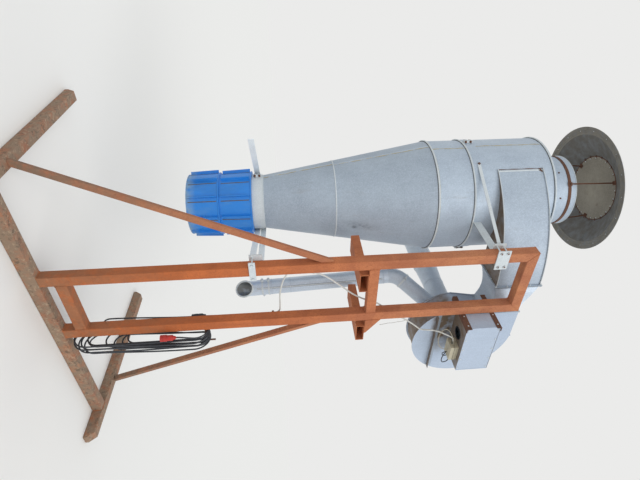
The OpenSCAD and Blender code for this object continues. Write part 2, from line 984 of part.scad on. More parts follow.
// Flat bars from the band to both sides of the left post's clamp, and a free arm to the left
module support_bars() {
    clamp_y = rear_y + clamp_t;
    color(galvanised) {
        difference() {
            union() {
                flat_bar([left_x - 14, clamp_y], neck_r + bar_t, 1, lower_clamp_z, bar_h, bar_t);
                flat_bar([left_x + tube + 10, clamp_y], neck_r + bar_t, 1, lower_clamp_z + bar_h + bar_gap,
                    bar_h, bar_t);
            }
            translate([left_x - tube, clamp_y - tube, lower_clamp_z - 1])
                cube([3 * tube, tube, 3 * bar_h]);
        }
        flat_bar(free_arm, neck_r + bar_t, -1, neck_z - neck_h + 20, bar_h, bar_t);
    }
}

module lower_clamp() {
    color(galvanised)
        post_clamp(lower_clamp_z, bar_h, 2 * bar_h + bar_gap, 48, 36, [0.5]);
}

// Skirt

skirt_top = neck_z - neck_h;
first_rib = -122 - 12;
tier_gap = 30;
tier_taper = 10;

// One tier: a tapering panel with upright ribs, closed at the top by a ring of the given inner radius
module skirt_tier(top, inner) {
    color(sky_blue) {
        ring(top - skirt_t, skirt_t, inner, skirt_r - skirt_t / 2);
        translate([cyc[0], cyc[1], top - tier_h]) {
            difference() {
                cylinder(h = tier_h, r1 = skirt_r - tier_taper, r2 = skirt_r);
                translate([0, 0, -1])
                    cylinder(h = tier_h + 2, r1 = skirt_r - tier_taper - skirt_t,
                        r2 = skirt_r - skirt_t);
            }
            for (k = [0:rib_count - 1])
                rotate([0, 0, first_rib + k * 360 / rib_count])
                    translate([skirt_r - tier_taper - skirt_t / 2, rib_t / 2, 0])
                        rotate([90, 0, 0])
                            linear_extrude(rib_t)
                                polygon([[0, tier_gap / 2], [rib_out, tier_gap / 2],
                                    [rib_out + tier_taper, tier_h - tier_gap / 2],
                                    [tier_taper, tier_h - tier_gap / 2]]);
        }
    }
}

module upper_skirt() skirt_tier(skirt_top, neck_r - 12);

module lower_skirt() skirt_tier(skirt_top - tier_h, skirt_r - tier_taper - skirt_t);

// Cables

// The hank: a long loop with round ends that hangs over the hook
hook_r = 8;
hook_tip = 55;
hank_x = right_x + hook_len - 2 * hook_r - hank_w - 2;
hank_end_r = 100;
hank_top = hook_z + hank_t;

// Middle of the hank's front and back limb
limb = hank_r - hank_t / 2;
coupler_r = 21;
coupler_len = 110;
coupler_top = [hank_x - coupler_r - seat, limb, 1110];

// The motor cable's route from the gland, behind the right post, over to the left post and back down
cable_route = [[420, -93, 3096], [388, -94, 3090], [360, -90, 3058], [342, -80, 3018], [328, -66, 2976],
    [326, -48, 2930], [338, -28, 2880], [348, -6, 2834], [318, 16, 2784], [282, 38, 2724],
    [250, 50, 2666], [204, 55, 2600], [150, 58, 2538], [97, 60, 2482], [58, 60, 2423],
    [30, 60, 2356], [-6, 60, 2300], [-50, 60, 2244], [-99, 60, 2194], [-152, 60, 2138],
    [-205, 60, 2082], [-242, 60, 2032], [-266, 60, 1982], [-280, 60, 1932], [-306, 58, 1894],
    [-344, 54, 1876], [-366, 52, 1832], [-344, 54, 1788], [-302, 58, 1776], [-258, 60, 1758],
    [-205, 60, 1734], [-130, 60, 1714], [-45, 60, 1703], [40, 60, 1700], [104, 61, 1690],
    [128, 62, 1640], [131, 64, 1500], [138, 70, 1340], [150, 88, 1210], coupler_top];
rings_per_step = 2;
cable_sides = 8;

// A point on the smooth curve through the route, at a number of steps from its start
function on_route(p, t) = let (
        last = len(p) - 1,
        i = min(floor(t), last - 1),
        f = t - i,
        a = p[max(i - 1, 0)],
        b = p[i],
        c = p[i + 1],
        d = p[min(i + 2, last)])
    b + f / 2 * (c - a + f * (2 * a - 5 * b + 4 * c - d + f * (3 * (b - c) + d - a)));

// A round tube along a route that never runs along Y
module tube_along(route, r) {
    last = (len(route) - 1) * rings_per_step;
    line = [for (i = [0:last]) on_route(route, i / rings_per_step)];
    rings = [for (i = [0:last]) let (
            along = unit(line[min(i + 1, last)] - line[max(i - 1, 0)]),
            out = unit(cross(along, [0, 1, 0])),
            up = cross(along, out))
        for (k = [0:cable_sides - 1]) let (a = 360 * k / cable_sides)
            line[i] + r * (cos(a) * out + sin(a) * up)];
    sides = [for (i = [0:last - 1], k = [0:cable_sides - 1]) let (
            a = i * cable_sides + k,
            b = i * cable_sides + (k + 1) % cable_sides)
        each [[a, b, b + cable_sides], [a, b + cable_sides, a + cable_sides]]];
    ends = [[for (k = [cable_sides - 1:-1:0]) k], [for (k = [0:cable_sides - 1]) last * cable_sides + k]];
    polyhedron(points = rings, faces = concat(sides, ends), convexity = 10);
}

module motor_cable() {
    color("#d8d4c8")
        tube_along(cable_route, cable_d / 2);
}

// Eyes on the backs of the posts that the cable passes through
clip_size = [26, 16];
clip_at = [[-366, 52, 1832], [128, 62, 1640]];
module cable_clips() {
    color(dark_rust)
        for (p = clip_at)
            difference() {
                translate([p[0] - clip_size[0] / 2, rear_y, p[2] - clip_size[1] / 2])
                    cube([clip_size[0], p[1] + clip_size[0] / 2 - rear_y, clip_size[1]]);
                translate([p[0], p[1], p[2] - clip_size[1]])
                    cylinder(h = 2 * clip_size[1], r = cable_d / 2 + 2);
            }
}

// A rod out of the right post's outer side with an upturned tip
module cable_hook() {
    tip_x = right_x + hook_len - hook_r;
    color(dark_rust) {
        rod([right_x, 0, hook_z - hook_r - seat], [tip_x + hook_r, 0, hook_z - hook_r - seat], hook_r);
        rod([tip_x, 0, hook_z - hook_r - seat], [tip_x, 0, hook_z + hook_tip], hook_r - 1);
    }
}

module hank_outline(inset) {
    hull() {
        translate([0, hank_top - hank_r])
            circle(r = hank_r - inset);
        translate([0, hank_low + hank_end_r])
            circle(r = hank_end_r - inset);
    }
}

module cable_hank() {
    color("#2a2c30")
        translate([hank_x, 0, 0])
            rotate([90, 0, 90])
                linear_extrude(hank_w)
                    difference() {
                        hank_outline(0);
                        hank_outline(hank_t);
                    }
}

// The coupler between the two cables hangs against the hank's back limb
module cable_coupler() {
    color("#2a2c30")
        translate(coupler_top - [0, 0, coupler_len])
            cylinder(h = coupler_len, r = coupler_r);
}

// The plug hangs against the hank's front limb
plug_r = 26;
plug_z = 800;
module cable_plug() {
    color("#b3231f")
        translate([hank_x - plug_r - seat, -limb, plug_z]) {
            cylinder(h = 48, r = plug_r);
            cylinder(h = 92, r = plug_r - 4);
            cylinder(h = 118, r = plug_r - 12);
        }
}

base_beam();
left_leg();
right_leg();
left_post();
right_post();
top_rail();
mid_rail();
low_rail();
left_brace();
right_brace();
left_fork_pocket();
right_fork_pocket();
pocket_stub();
upper_shell();
lower_shell();
upper_cone();
lower_cone();
roof_plate();
outlet_collar();
collar_strap();
cap_rods();
rain_cap();
cap_disc();
inlet_scroll();
scroll_floor();
duct_flanges();
transition_duct();
fan_wrap();
fan_front_plate();
fan_back_plate();
fan_stiffener();
motor_cover();
motor();
terminal_box();
fan_rails();
suction_box();
suction_pipe();
main_pipe();
branch_pipe();
down_pipe();
pipe_couplings();
upper_band();
upper_clamp();
clamp_bracket();
tie_bar();
cone_band();
support_bars();
lower_clamp();
upper_skirt();
lower_skirt();
cable_clips();
cable_hook();
motor_cable();
cable_coupler();
cable_hank();
cable_plug();
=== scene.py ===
"""A farm dust cyclone on its rusty tube stand: finishes, small parts, cables, light and camera."""
import math

import bmesh
import bpy
import numpy as np
from mathutils import Matrix


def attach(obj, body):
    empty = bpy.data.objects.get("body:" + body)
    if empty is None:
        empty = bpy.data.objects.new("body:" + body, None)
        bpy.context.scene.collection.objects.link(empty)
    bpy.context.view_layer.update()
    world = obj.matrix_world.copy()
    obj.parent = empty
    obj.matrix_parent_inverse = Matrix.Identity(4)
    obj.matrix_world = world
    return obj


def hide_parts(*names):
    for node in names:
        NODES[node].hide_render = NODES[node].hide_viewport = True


bl_info = {
    "name": "Cyclone Separator Dressing",
    "version": (1, 0, 0),
    "blender": (4, 5, 0),
    "location": "View3D > Sidebar > Cyclone",
    "description": "Finishes, seams, bolts, cables and light for a cyclone separator",
    "category": "Object",
}

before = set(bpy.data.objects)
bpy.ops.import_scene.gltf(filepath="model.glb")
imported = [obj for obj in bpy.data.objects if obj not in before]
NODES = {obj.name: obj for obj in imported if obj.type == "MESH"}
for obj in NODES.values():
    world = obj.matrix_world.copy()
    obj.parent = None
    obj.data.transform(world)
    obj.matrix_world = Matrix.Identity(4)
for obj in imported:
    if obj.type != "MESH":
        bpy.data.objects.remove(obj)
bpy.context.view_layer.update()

# Shapes are worked out in mm. The values are the cyclone's upright axis, the centre of the circle on which
# the scroll's wall lies, half the stand's square tube, the heights of the drums' rolled joints, and the tops
# of the skirt's tiers.
UP = np.array([0, 0, 1.0])
AXIS = np.array([-378.0, 897.0, 0.0])
SCROLL_CENTRE = np.array([108.7, 1178.0, 0.0])
HALF_TUBE = 40
ROLLED_JOINTS = (3933.0, 3275.0, 2985.0)
TIER_TOPS = (1505.0, 1243.0)


def linear(code):
    """sRGB hex to linear: c / 12.92 up to 0.04045, above it ((c + 0.055) / 1.055) to 2.4."""
    c = np.array([int(code[i:i + 2], 16) for i in (1, 3, 5)]) / 255
    return (*np.where(c <= 0.04045, c / 12.92, ((c + 0.055) / 1.055) ** 2.4).tolist(), 1.0)


def length(name, default, description):
    """A property in metres."""
    return bpy.props.FloatProperty(name=name, default=default, description=description, min=0, unit="LENGTH",
                                   subtype="DISTANCE", precision=4)


def tint(name, code, description):
    """A colour property, from an sRGB hex."""
    return bpy.props.FloatVectorProperty(name=name, default=linear(code), description=description, size=4,
                                         min=0, max=1, subtype="COLOR")


class CYCLONE_PG_stand(bpy.types.PropertyGroup):
    corner: length("Tube Corner", 0.005, "Outer corner radius of the square tube")
    weld: length("Weld Width", 0.011, "Width of a weld bead across the joint")
    coat: tint("Red Oxide", "#a96b4d", "Worn red oxide primer on the upper posts and rails")
    fresh: tint("Orange Rust", "#ad5b2a", "Orange rust on the lower posts, which the rain keeps wet")
    rust: tint("Rust", "#8a4a2a", "Rust that shows through the primer")
    bloom: tint("Pale Rust", "#c07f57", "Dry pale bloom on the rust")
    yard: tint("Yard Dirt", "#857461", "Dirt on the ground beams")
    mud: tint("Splashed Mud", "#8c6144", "Rusty mud splashed on the posts' feet")
    bare: tint("Bare Steel Rust", "#5d4032", "Brown rust on rods, hooks and angle irons")


class CYCLONE_PG_sheet(bpy.types.PropertyGroup):
    seam: length("Lap Seam", 0.022, "Width of a riveted or folded lap")
    zinc: tint("Zinc", "#aab8c5", "Weathered galvanised sheet")
    bright: tint("Bright Zinc", "#b9c5d3", "Brighter crystals of the zinc")
    dull: tint("Dull Zinc", "#929dac", "Darker cloud on the zinc")
    stain: tint("Stain", "#7d6c5a", "Brown rain stain")
    sealant: tint("Sealant", "#b3a57f", "Aged sealant in the seams")
    # Painted shade with grime, laid on the cap's faces that look down.
    inside: tint("Cap Inside Shade", "#65625c", "Grimy zinc under the rain cap")
    disc: tint("Cap Disc", "#827d72", "Pale grimy zinc of the disc in the cap")
    floor: tint("Scroll Floor", "#6b5a4a", "Rust on the scroll's underside")


class CYCLONE_PG_pipes(bpy.types.PropertyGroup):
    rim: length("Mouth Rim", 0.016, "Thickness of the rolled rim round the pipe's mouth")
    seam: length("Lock Seam", 0.009, "Width of the pipe's lengthwise lock seam")
    zinc: tint("Pipe Zinc", "#b2bdc9", "Satin zinc of the pipes")
    fittings: tint("Dipped Zinc", "#c4cbce", "Hot-dip galvanised bars, plates and clamps")


class CYCLONE_PG_fan(bpy.types.PropertyGroup):
    screw: length("Screw Head", 0.013, "Width across the heads of the casing's screws")
    casing: tint("Fan Zinc", "#acb9ca", "Pale blue-grey zinc of the casing")
    motor: tint("Motor Enamel", "#59666e", "Machine grey enamel")
    box: tint("Box Plastic", "#b6af98", "Cream plastic of the terminal box")


class CYCLONE_PG_skirt(bpy.types.PropertyGroup):
    panel: length("Panel Lap", 0.012, "Width of the dark lap between two skirt panels")
    blue: tint("Blue", "#2380d6", "Moulded blue plastic")
    faded: tint("Faded Blue", "#4f8ccb", "Chalky scuffs on the blue")
    grime: tint("Grime", "#2d5f94", "Dirt in the corners")


class CYCLONE_PG_cables(bpy.types.PropertyGroup):
    cable: length("Motor Cable", 0.012, "Diameter of the motor's cable")
    lead: length("Lead", 0.012, "Diameter of the black lead in the hank")
    sheath: tint("Sheath", "#cacbc6", "Off-white plastic sheath, dusty")
    rubber: tint("Rubber", "#303338", "Black rubber sheath")
    plug: tint("Plug", "#b02a22", "Red plastic plug")


class CYCLONE_PG_stage(bpy.types.PropertyGroup):
    ground: tint("Floor", "#e9e8e4", "Pale floor")
    sky: bpy.props.FloatProperty(name="Sky", default=0.80, min=0, description="Strength of the even light")
    sun: bpy.props.FloatProperty(name="Key", default=1.35, min=0, description="Strength of the soft key")


def add(tree, kind, inputs=None, **settings):
    """Adds a shader node with its settings and its inputs as values or links, and gives back its outputs."""
    node = tree.nodes.new("ShaderNode" + kind)
    for key, value in settings.items():
        setattr(node, key, value)
    for key, value in (inputs or {}).items():
        if isinstance(value, bpy.types.NodeSocket):
            tree.links.new(value, node.inputs[key])
        else:
            node.inputs[key].default_value = value
    return node.outputs


def shade(colour, factor):
    """The same colour lighter or darker by a factor, kept under white."""
    return (*[min(c * factor, 1.0) for c in colour[:3]], 1.0)


def shades(colour, *factors):
    """The colour at several factors."""
    return [shade(colour, factor) for factor in factors]


def begin(name, roughness, metallic=0.0):
    """A new material, its tree, its shader's sockets and the place on the piece in metres."""
    material = bpy.data.materials.new(name)
    material.use_nodes = True
    tree = material.node_tree
    sockets = tree.nodes["Principled BSDF"].inputs
    sockets["Roughness"].default_value = roughness
    sockets["Metallic"].default_value = metallic
    return material, tree, sockets, add(tree, "TexCoord")["Object"]


def cloud(tree, where, size, low, high, detail=4.0, stretch=None, rough=0.55):
    """A factor from 0 to 1: noise whose patches are size mm wide, raised from low to high."""
    if stretch:
        where = add(tree, "Mapping", {"Vector": where, "Scale": stretch})[0]
    inputs = {"Vector": where, "Scale": 1000 / size, "Detail": detail, "Roughness": rough}
    return add(tree, "MapRange", {0: add(tree, "TexNoise", inputs)[0], 1: low, 2: high})[0]


def rising(tree, vector, start, end):
    """A factor from 0 where the vector's upward part is start to 1 where it is end."""
    upward = add(tree, "SeparateXYZ", {0: vector})[2]
    return add(tree, "MapRange", {0: upward, 1: start, 2: end})[0]


def smudge(tree, where, centre, radii, turn=(0, 0, 0)):
    """A factor from 1 at centre to 0 at the radii, all in metres: 1 - length of the scaled offset."""
    place = {"Vector": where, "Location": centre, "Rotation": turn, "Scale": radii}
    offset = add(tree, "Mapping", place, vector_type="TEXTURE")[0]
    return add(tree, "TexGradient", {"Vector": offset}, gradient_type="SPHERICAL")[1]


def laid(tree, tone, *layers):
    """The tone with layers over it in turn, each a colour and the factors whose product covers."""
    for colour, part, *factors in layers:
        for factor in factors:
            part = add(tree, "Math", {0: part, 1: factor}, operation="MULTIPLY")[0]
        tone = add(tree, "Mix", {0: part, 6: tone, 7: colour}, data_type="RGBA")[2]
    return tone


def soiled(tree, tone, where, factor, colour, size, most):
    """The tone with a colour laid where the factor is high, broken up by noise of size mm."""
    return laid(tree, tone, (colour, factor, cloud(tree, where, size, 0.25, 0.6, 5), most))


def relief(tree, where, size, detail, strength, depth, **under):
    """A normal bent by noise of size mm that stands up by depth metres, over the one given."""
    noise = add(tree, "TexNoise", {"Vector": where, "Scale": 1000 / size, "Detail": detail})[0]
    return add(tree, "Bump", {"Height": noise, "Strength": strength, "Distance": depth, **under})[0]


def joined(tree, sockets, sources):
    """Links each source to the shader's socket of that name."""
    for name, source in sources.items():
        tree.links.new(source, sockets[name])


def rusted_primer(name, coat, rust, bloom, dirt=None, grain=7, fresh=None, flecks=0.3, splash=0.5):
    """Red oxide primer on mild steel, left out for years: matt, speckled with rust of a few mm, with
    paler dry patches a hand wide and dark runs down the tube. fresh turns it orange below 2 m, and dirt lies
    thicker towards the ground, with pale and dark flecks."""
    material, tree, sockets, where = begin(name, 0.86)
    if fresh:
        lower = rising(tree, where, 3.0, 1.0)
        coat = laid(tree, coat, (fresh, lower))
        bloom = laid(tree, bloom, (shade(fresh, 1.3), lower))
    tone = laid(tree, coat,
                (bloom, cloud(tree, where, 160, 0.38, 0.66, 5)),
                (shade(rust, 1.15), cloud(tree, where, 38, 0.5, 0.72, 5, (1, 1, 0.1)), 0.4),
                (rust, cloud(tree, where, grain, 0.42, 0.68, 5, (1, 1, 0.6)), 0.42),
                (shade(rust, 0.7), cloud(tree, where, grain * 2.2, 0.60, 0.72, 4), 0.4))
    if dirt:
        low = rising(tree, where, splash, 0.10)
        tone = laid(tree, tone, (dirt, low, cloud(tree, where, 70, 0.22, 0.56, 5), 0.9))
        for size, shift, factor in ((24, 3.1, 1.75), (34, 7.7, 0.42)):
            moved = add(tree, "VectorMath", {0: where, 1: (shift, shift, 0)})[0]
            fleck = cloud(tree, moved, size, 0.54, 0.64, 6, rough=0.7)
            tone = laid(tree, tone, (shade(dirt, factor), low, fleck, flecks))
    joined(tree, sockets, {"Base Color": tone, "Normal": relief(tree, where, 4, 4.0, 0.35, 0.0012)})
    return material


def galvanised(name, zinc, bright, dull, stain, stained, underside=None, under=(0.1, -0.5), metallic=0.2,
               roughness=0.52, spangle=14, marks=(), rim=None, bore=None):
    """Hot-dip zinc on rolled sheet, some years old: satin grey with crystals about 14 mm wide, a cloudy
    bloom, faint rain runs, and brown stain where water stands or drips."""
    material, tree, sockets, where = begin(name, roughness, metallic)
    crystal = add(tree, "TexVoronoi", {"Vector": where, "Scale": 1000 / spangle})["Color"]
    faint = add(tree, "MapRange", {0: add(tree, "SeparateColor", {0: crystal})[0], 4: 0.38})[0]
    bloom = cloud(tree, where, 260, 0.36, 0.70, 8, rough=0.62)
    tone = laid(tree, zinc, (bright, faint), (dull, bloom, 0.5),
                (shade(bright, 1.15), cloud(tree, where, 9, 0.46, 0.66, 4, rough=0.7), 0.5),
                (shade(bright, 1.08), cloud(tree, where, 26, 0.50, 0.76, 5, (1, 1, 0.09)), 0.22),
                (stain, cloud(tree, where, 90, 0.60, 0.78, 7, (1, 1, 0.25), 0.7), stained))
    # Faces that look down take the underside colour: painted shade with grime under the cap, brown stain
    # elsewhere.
    if underside:
        facing_down = rising(tree, add(tree, "NewGeometry")["Normal"], *under)
        patch = add(tree, "MapRange", {0: cloud(tree, where, 60, 0.25, 0.6, 6), 3: 0.7})[0]
        tone = laid(tree, tone, (underside, facing_down, patch))
    for place, colour, size, most in marks:
        tone = soiled(tree, tone, where, smudge(tree, where, *place), colour, size, most)
    if rim:
        tone = soiled(tree, tone, where, rising(tree, where, rim[1], rim[0]), rim[2], 30, 0.8)
    # Painted shade inside a pipe's bore, over all within the given radii of its axis.
    if bore:
        inner = add(tree, "MapRange", {0: smudge(tree, where, *bore[0]), 2: 0.02})[0]
        tone = soiled(tree, tone, where, inner, bore[1], 90, 1.6)
    satin = add(tree, "MapRange", {0: bloom, 3: roughness - 0.06, 4: roughness + 0.1})[0]
    wavy = relief(tree, where, 190, 2.0, 0.35, 0.012)
    grit = relief(tree, where, 5, 3.0, 0.12, 0.0006, Normal=wavy)
    joined(tree, sockets, {"Base Color": tone, "Roughness": satin, "Normal": grit})
    return material


def plastic(name, colour, worn, grime, roughness, scuff=26, stretch=None, rim=None):
    """Moulded or extruded plastic: an even colour, chalky scuffs a few cm long, and dirt in patches."""
    material, tree, sockets, where = begin(name, roughness)
    chalk = cloud(tree, where, scuff, 0.48, 0.76, 6, stretch, 0.65)
    tone = laid(tree, colour, (worn, chalk, 0.55),
                (grime, cloud(tree, where, scuff * 3.5, 0.50, 0.74, 6, stretch), 0.5))
    if rim:
        tone = soiled(tree, tone, where, rising(tree, where, rim[1], rim[0]), rim[2], 45, 0.9)
    dusty = add(tree, "MapRange", {0: chalk, 3: roughness, 4: roughness + 0.2})[0]
    pores = relief(tree, where, 1.5, 2.0, 0.1, 0.0004)
    joined(tree, sockets, {"Base Color": tone, "Roughness": dusty, "Normal": pores})
    return material


FINISHES = {}


def mix_finishes(scene):
    """Makes each finish once and keeps it by its slot in the record."""
    st, sh, pi, fa = scene.cyclone_stand, scene.cyclone_sheet, scene.cyclone_pipes, scene.cyclone_fan
    sk, ca = scene.cyclone_skirt, scene.cyclone_cables
    # Marks are (centre, radii, turn) in metres, colour, size of the noise in mm and strength.
    scuff = ((-0.332, 0.536, 2.385), (0.05, 0.05, 0.21), (0.1475, 0.1933, 0)), linear("#6a717b"), 28, 0.6
    # A small dark mark of painted shade in a dent on the cone.
    dent_shade = ((-0.315, 0.549, 2.331), (0.022, 0.03, 0.026)), linear("#3a3d42"), 9, 1.1
    front_plate_patch = ((0.30, 0.04, 3.055), (0.46, 0.3, 0.115)), shade(sh.stain, 0.9), 80, 2.4
    # The disc is paler towards its middle.
    pale_middle = ((-0.36, 0.87, 4.58), (0.24, 0.2, 0.1)), shade(sh.disc, 1.7), 60, 1.0
    painted_bore_shade = ((0.3533, 0.590, 1.370), (0.0681, 0.0681, 60.0), (0, -0.05585, 0)), linear("#7b8081")
    FINISHES.update(
        # Primer on the posts: orange where the rain splashes, browner on the thin braces, dull on the beams.
        rusty_frame=rusted_primer(
            "red_oxide_primer", st.coat, st.rust, st.bloom, st.mud, fresh=st.fresh, splash=1.2),
        brace_rust=rusted_primer(
            "thin_worn_primer", shade(st.coat, 0.97), st.rust, shade(st.bloom, 0.85), shade(st.yard, 0.7),
            splash=1.5),
        rusty_base=rusted_primer(
            "yard_stained_primer", shade(st.coat, 0.86), shade(st.rust, 0.85), shade(st.bloom, 0.85), st.yard,
            flecks=0.75),
        # Bare steel fittings: dark brown, fine-grained and matt.
        rusty_fittings=rusted_primer("rusted_bare_steel", *shades(st.bare, 1, 0.6, 1.7), grain=5),
        # Zinc: pale on the drums, duller on the cone with a scuff and painted shade in a dent, clean on the
        # scroll.
        zinc_shell=galvanised("weathered_galvanised_sheet", sh.zinc, sh.bright, sh.dull, sh.stain, 0.28),
        zinc_cone=galvanised(
            "scuffed_galvanised_cone", shade(sh.zinc, 0.83), shade(sh.bright, 0.88), shade(sh.dull, 0.88),
            sh.stain, 0.25, spangle=11, marks=[scuff, dent_shade]),
        zinc_scroll=galvanised(
            "galvanised_scroll_sheet", shade(sh.zinc, 0.89), shade(sh.bright, 0.96), shade(sh.dull, 0.96),
            sh.stain, 0.2),
        # The casing is pale and bluish, brown underneath and in a broad patch on the front plate below the
        # cover.
        zinc_fan=galvanised(
            "galvanised_casing_sheet", *shades(fa.casing, 1, 1.15, 0.86), sh.stain, 0.18,
            shade(sh.stain, 0.8), (-0.2, -0.8), marks=[front_plate_patch]),
        # The cap is grey above, darker inside with painted shade and grime and a paler edge, and its disc is
        # yellowish and blotched.
        zinc_cap=galvanised(
            "grimy_galvanised_cap", shade(sh.dull, 1.05), sh.zinc, shade(sh.dull, 0.9), sh.stain, 0.45,
            sh.inside, (0.1, -0.3), roughness=0.6, rim=(4.462, 4.470, shade(sh.disc, 0.95))),
        disc_zinc=galvanised(
            "stained_galvanised_disc", *shades(sh.disc, 1.1, 1.5, 0.75), st.bare, 0.6, roughness=0.6,
            marks=[pale_middle]),
        # Pipes shine more than sheet, and the down pipe's mouth has painted shade inside.
        zinc_pipe=galvanised(
            "galvanised_pipe", *shades(pi.zinc, 1, 1.15, 0.84), sh.stain, 0.25, metallic=0.3, roughness=0.42),
        zinc_down=galvanised(
            "galvanised_spiral_pipe", *shades(pi.zinc, 1.14, 1.3, 0.9), sh.stain, 0.3, metallic=0.35,
            roughness=0.36, bore=painted_bore_shade),
        # Dipped bars and plates: near white, fine crystals, almost no shine; the support bars get a paler
        # copy, painted light.
        zinc_fittings=galvanised(
            "hot_dip_galvanised_bar", *shades(pi.fittings, 1, 1.12, 0.88), sh.stain, 0.3, metallic=0.1,
            roughness=0.55, spangle=9),
        zinc_bars=galvanised(
            "dipped_flat_bar_painted_light", *shades(pi.fittings, 1.4, 1.55, 1), sh.stain, 0.25, metallic=0.05,
            roughness=0.55, spangle=9),
        # Sheet under the scroll: blotched brown where rust water stands.
        stained_floor=galvanised(
            "rust_stained_sheet", shade(sh.zinc, 0.95), sh.zinc, sh.dull, sh.stain, 0.8, sh.floor),
        # Strong blue with upright chalky streaks and a dusty lower edge.
        blue_skirt=plastic(
            "moulded_polyethylene_blue", sk.blue, sk.faded, sk.grime, 0.36, 40, (1, 1, 0.35),
            (0.985, 1.06, linear("#86a3b8"))),
        # Enamel, box, sheaths and plug: half gloss, dusty, darker where dirt sits.
        motor_grey=plastic("machine_grey_enamel", *shades(fa.motor, 1, 1.3, 0.6), 0.45),
        box_cream=plastic("cream_box_plastic", *shades(fa.box, 1, 1.15, 0.55), 0.5),
        white_cable=plastic("dusty_pvc_sheath", *shades(ca.sheath, 1, 1.1, 0.55), 0.5, 22),
        black_cable=plastic("dusty_rubber_sheath", *shades(ca.rubber, 1, 3.2, 0.6), 0.55, 18),
        red_plug=plastic("red_nylon", *shades(ca.plug, 1, 1.25, 0.5), 0.38, 16),
        # Sealant, dirt and painted shade in gaps and by seams, an aged wire and dust: matt, with chalky or
        # dark specks.
        sealant=plastic("aged_seam_sealant", sh.sealant, shade(sh.sealant, 1.2), sh.stain, 0.75, 14),
        seam_dirt=plastic("dirt_and_painted_shade_in_gaps", *map(linear, ("#2e2a26", "#4a4138", "#1d1a18")), 0.9, 12),
        # Grey for the strips of painted shade beside the pipe seams, and for the lower clamp's bolt heads.
        seam_shade=plastic(
            "grey_dirt_and_painted_seam_shade", *map(linear, ("#6d757d", "#88909a", "#4e545a")), 0.8, 12),
        tan_wire=plastic("weathered_pvc_wire", *map(linear, ("#a09885", "#b8b2a2", "#6f6656")), 0.6, 14),
        crop_dust=plastic("brown_dust_in_ribs", *map(linear, ("#5f574a", "#857a66", "#33414c")), 0.9, 9),
    )


def rings_to_mesh(rings, closed=False):
    """Points and faces of a tube skin: each ring joins the next, and open ends get a flat face."""
    count, sides = rings.shape[:2]
    first = np.arange(count if closed else count - 1)[:, None] * sides
    ahead = (first + sides) % (count * sides)
    turn = np.arange(sides)
    after = (turn + 1) % sides
    faces = np.stack([first + turn, first + after, ahead + after, ahead + turn], -1).reshape(-1, 4).tolist()
    if not closed:
        faces += [list(range(sides))[::-1], list(range((count - 1) * sides, count * sides))]
    return rings.reshape(-1, 3), faces


def unit(v):
    """The vectors divided by their lengths."""
    return v / np.linalg.norm(v, axis=-1, keepdims=True)


def points(x, y, z):
    """Points from three numbers or arrays that fit together."""
    return np.stack(np.broadcast_arrays(x, y, z), -1)


def spoke(turn, side, up):
    """Directions square to an axis: side cos t + up sin t."""
    turn = np.asarray(turn)[..., None]
    return np.cos(turn) * side + np.sin(turn) * up


def outward(deg):
    """The level direction at an angle from +X: cos t, sin t, 0."""
    return np.array([math.cos(math.radians(deg)), math.sin(math.radians(deg)), 0])


def around(r, deg, z, centre=AXIS):
    """Points round an upright axis: r cos t, r sin t, z."""
    turn = np.radians(deg)
    return points(r * np.cos(turn), r * np.sin(turn), z) + centre


def full_turn(sides):
    """Equal steps round a circle: 2 pi i / sides."""
    return np.linspace(0, 2 * np.pi, sides, endpoint=False)


def carried(path, profile, ref, closed=False, widen=1.0):
    """A profile carried along a path: point = path + a * out + b * up, where out is square to the path and to
    ref, and up is square to both. widen scales the profile at each step."""
    path = np.asarray(path, float)
    along = unit(np.roll(path, -1, 0) - np.roll(path, 1, 0) if closed else np.gradient(path, axis=0))
    out = unit(np.cross(along, np.asarray(ref, float)))
    a, b = profile.T[:, None, :, None] * np.broadcast_to(widen, len(path))[:, None, None]
    return rings_to_mesh(path[:, None] + a * out[:, None] + b * np.cross(along, out)[:, None], closed)


def circle(r, sides=12, high=None):
    """Points of a circle, or of an oval that is r wide and high tall to each side: r cos t, high sin t."""
    turn = full_turn(sides)
    return np.stack([r * np.cos(turn), (high or r) * np.sin(turn)], -1)


def rectangle(w, h, corner=1.0):
    """A rectangle of w by h with its corners cut at 45 degrees by corner."""
    x, y, c = w / 2, h / 2, corner
    return np.array([[x - c, -y], [x, -y + c], [x, y - c], [x - c, y], [-x + c, y], [-x, y - c], [-x, -y + c],
                     [-x + c, -y]])


def turned(profile, origin, axis=(0, 0, 1), sides=24, closed=False):
    """A profile of (radius, height) turned about an axis through origin: r cos t, r sin t, h."""
    axis = unit(np.asarray(axis, float))
    side = unit(np.cross(axis, [1, 0, 0] if abs(axis[0]) < 0.9 else [0, 1, 0]))
    radius, height = np.asarray(profile, float).T[:, :, None, None]
    rings = np.asarray(origin, float) + radius * spoke(full_turn(sides), side, np.cross(axis, side))
    return rings_to_mesh(rings + height * axis, closed)


def hoop(profile, sides, waves=0.0):
    """A closed profile of (radius, height) carried round the cyclone's axis: r cos t, r sin t, z, with the
    radius breathing by waves mm in three slow swells."""
    turn = full_turn(sides)[:, None]
    swell = waves * (np.sin(3 * turn + 0.4) + 0.6 * np.sin(7 * turn + 1.9)) / 1.6
    return rings_to_mesh(around(profile[:, 0] + swell, np.degrees(turn), profile[:, 1]), True)


def rolled(r, z, wide, high, sides=12, steps=200, waves=0.0):
    """An oval bead round the cyclone's axis at radius r and height z."""
    return hoop(circle(wide, sides, high) + [r, z], steps, waves)


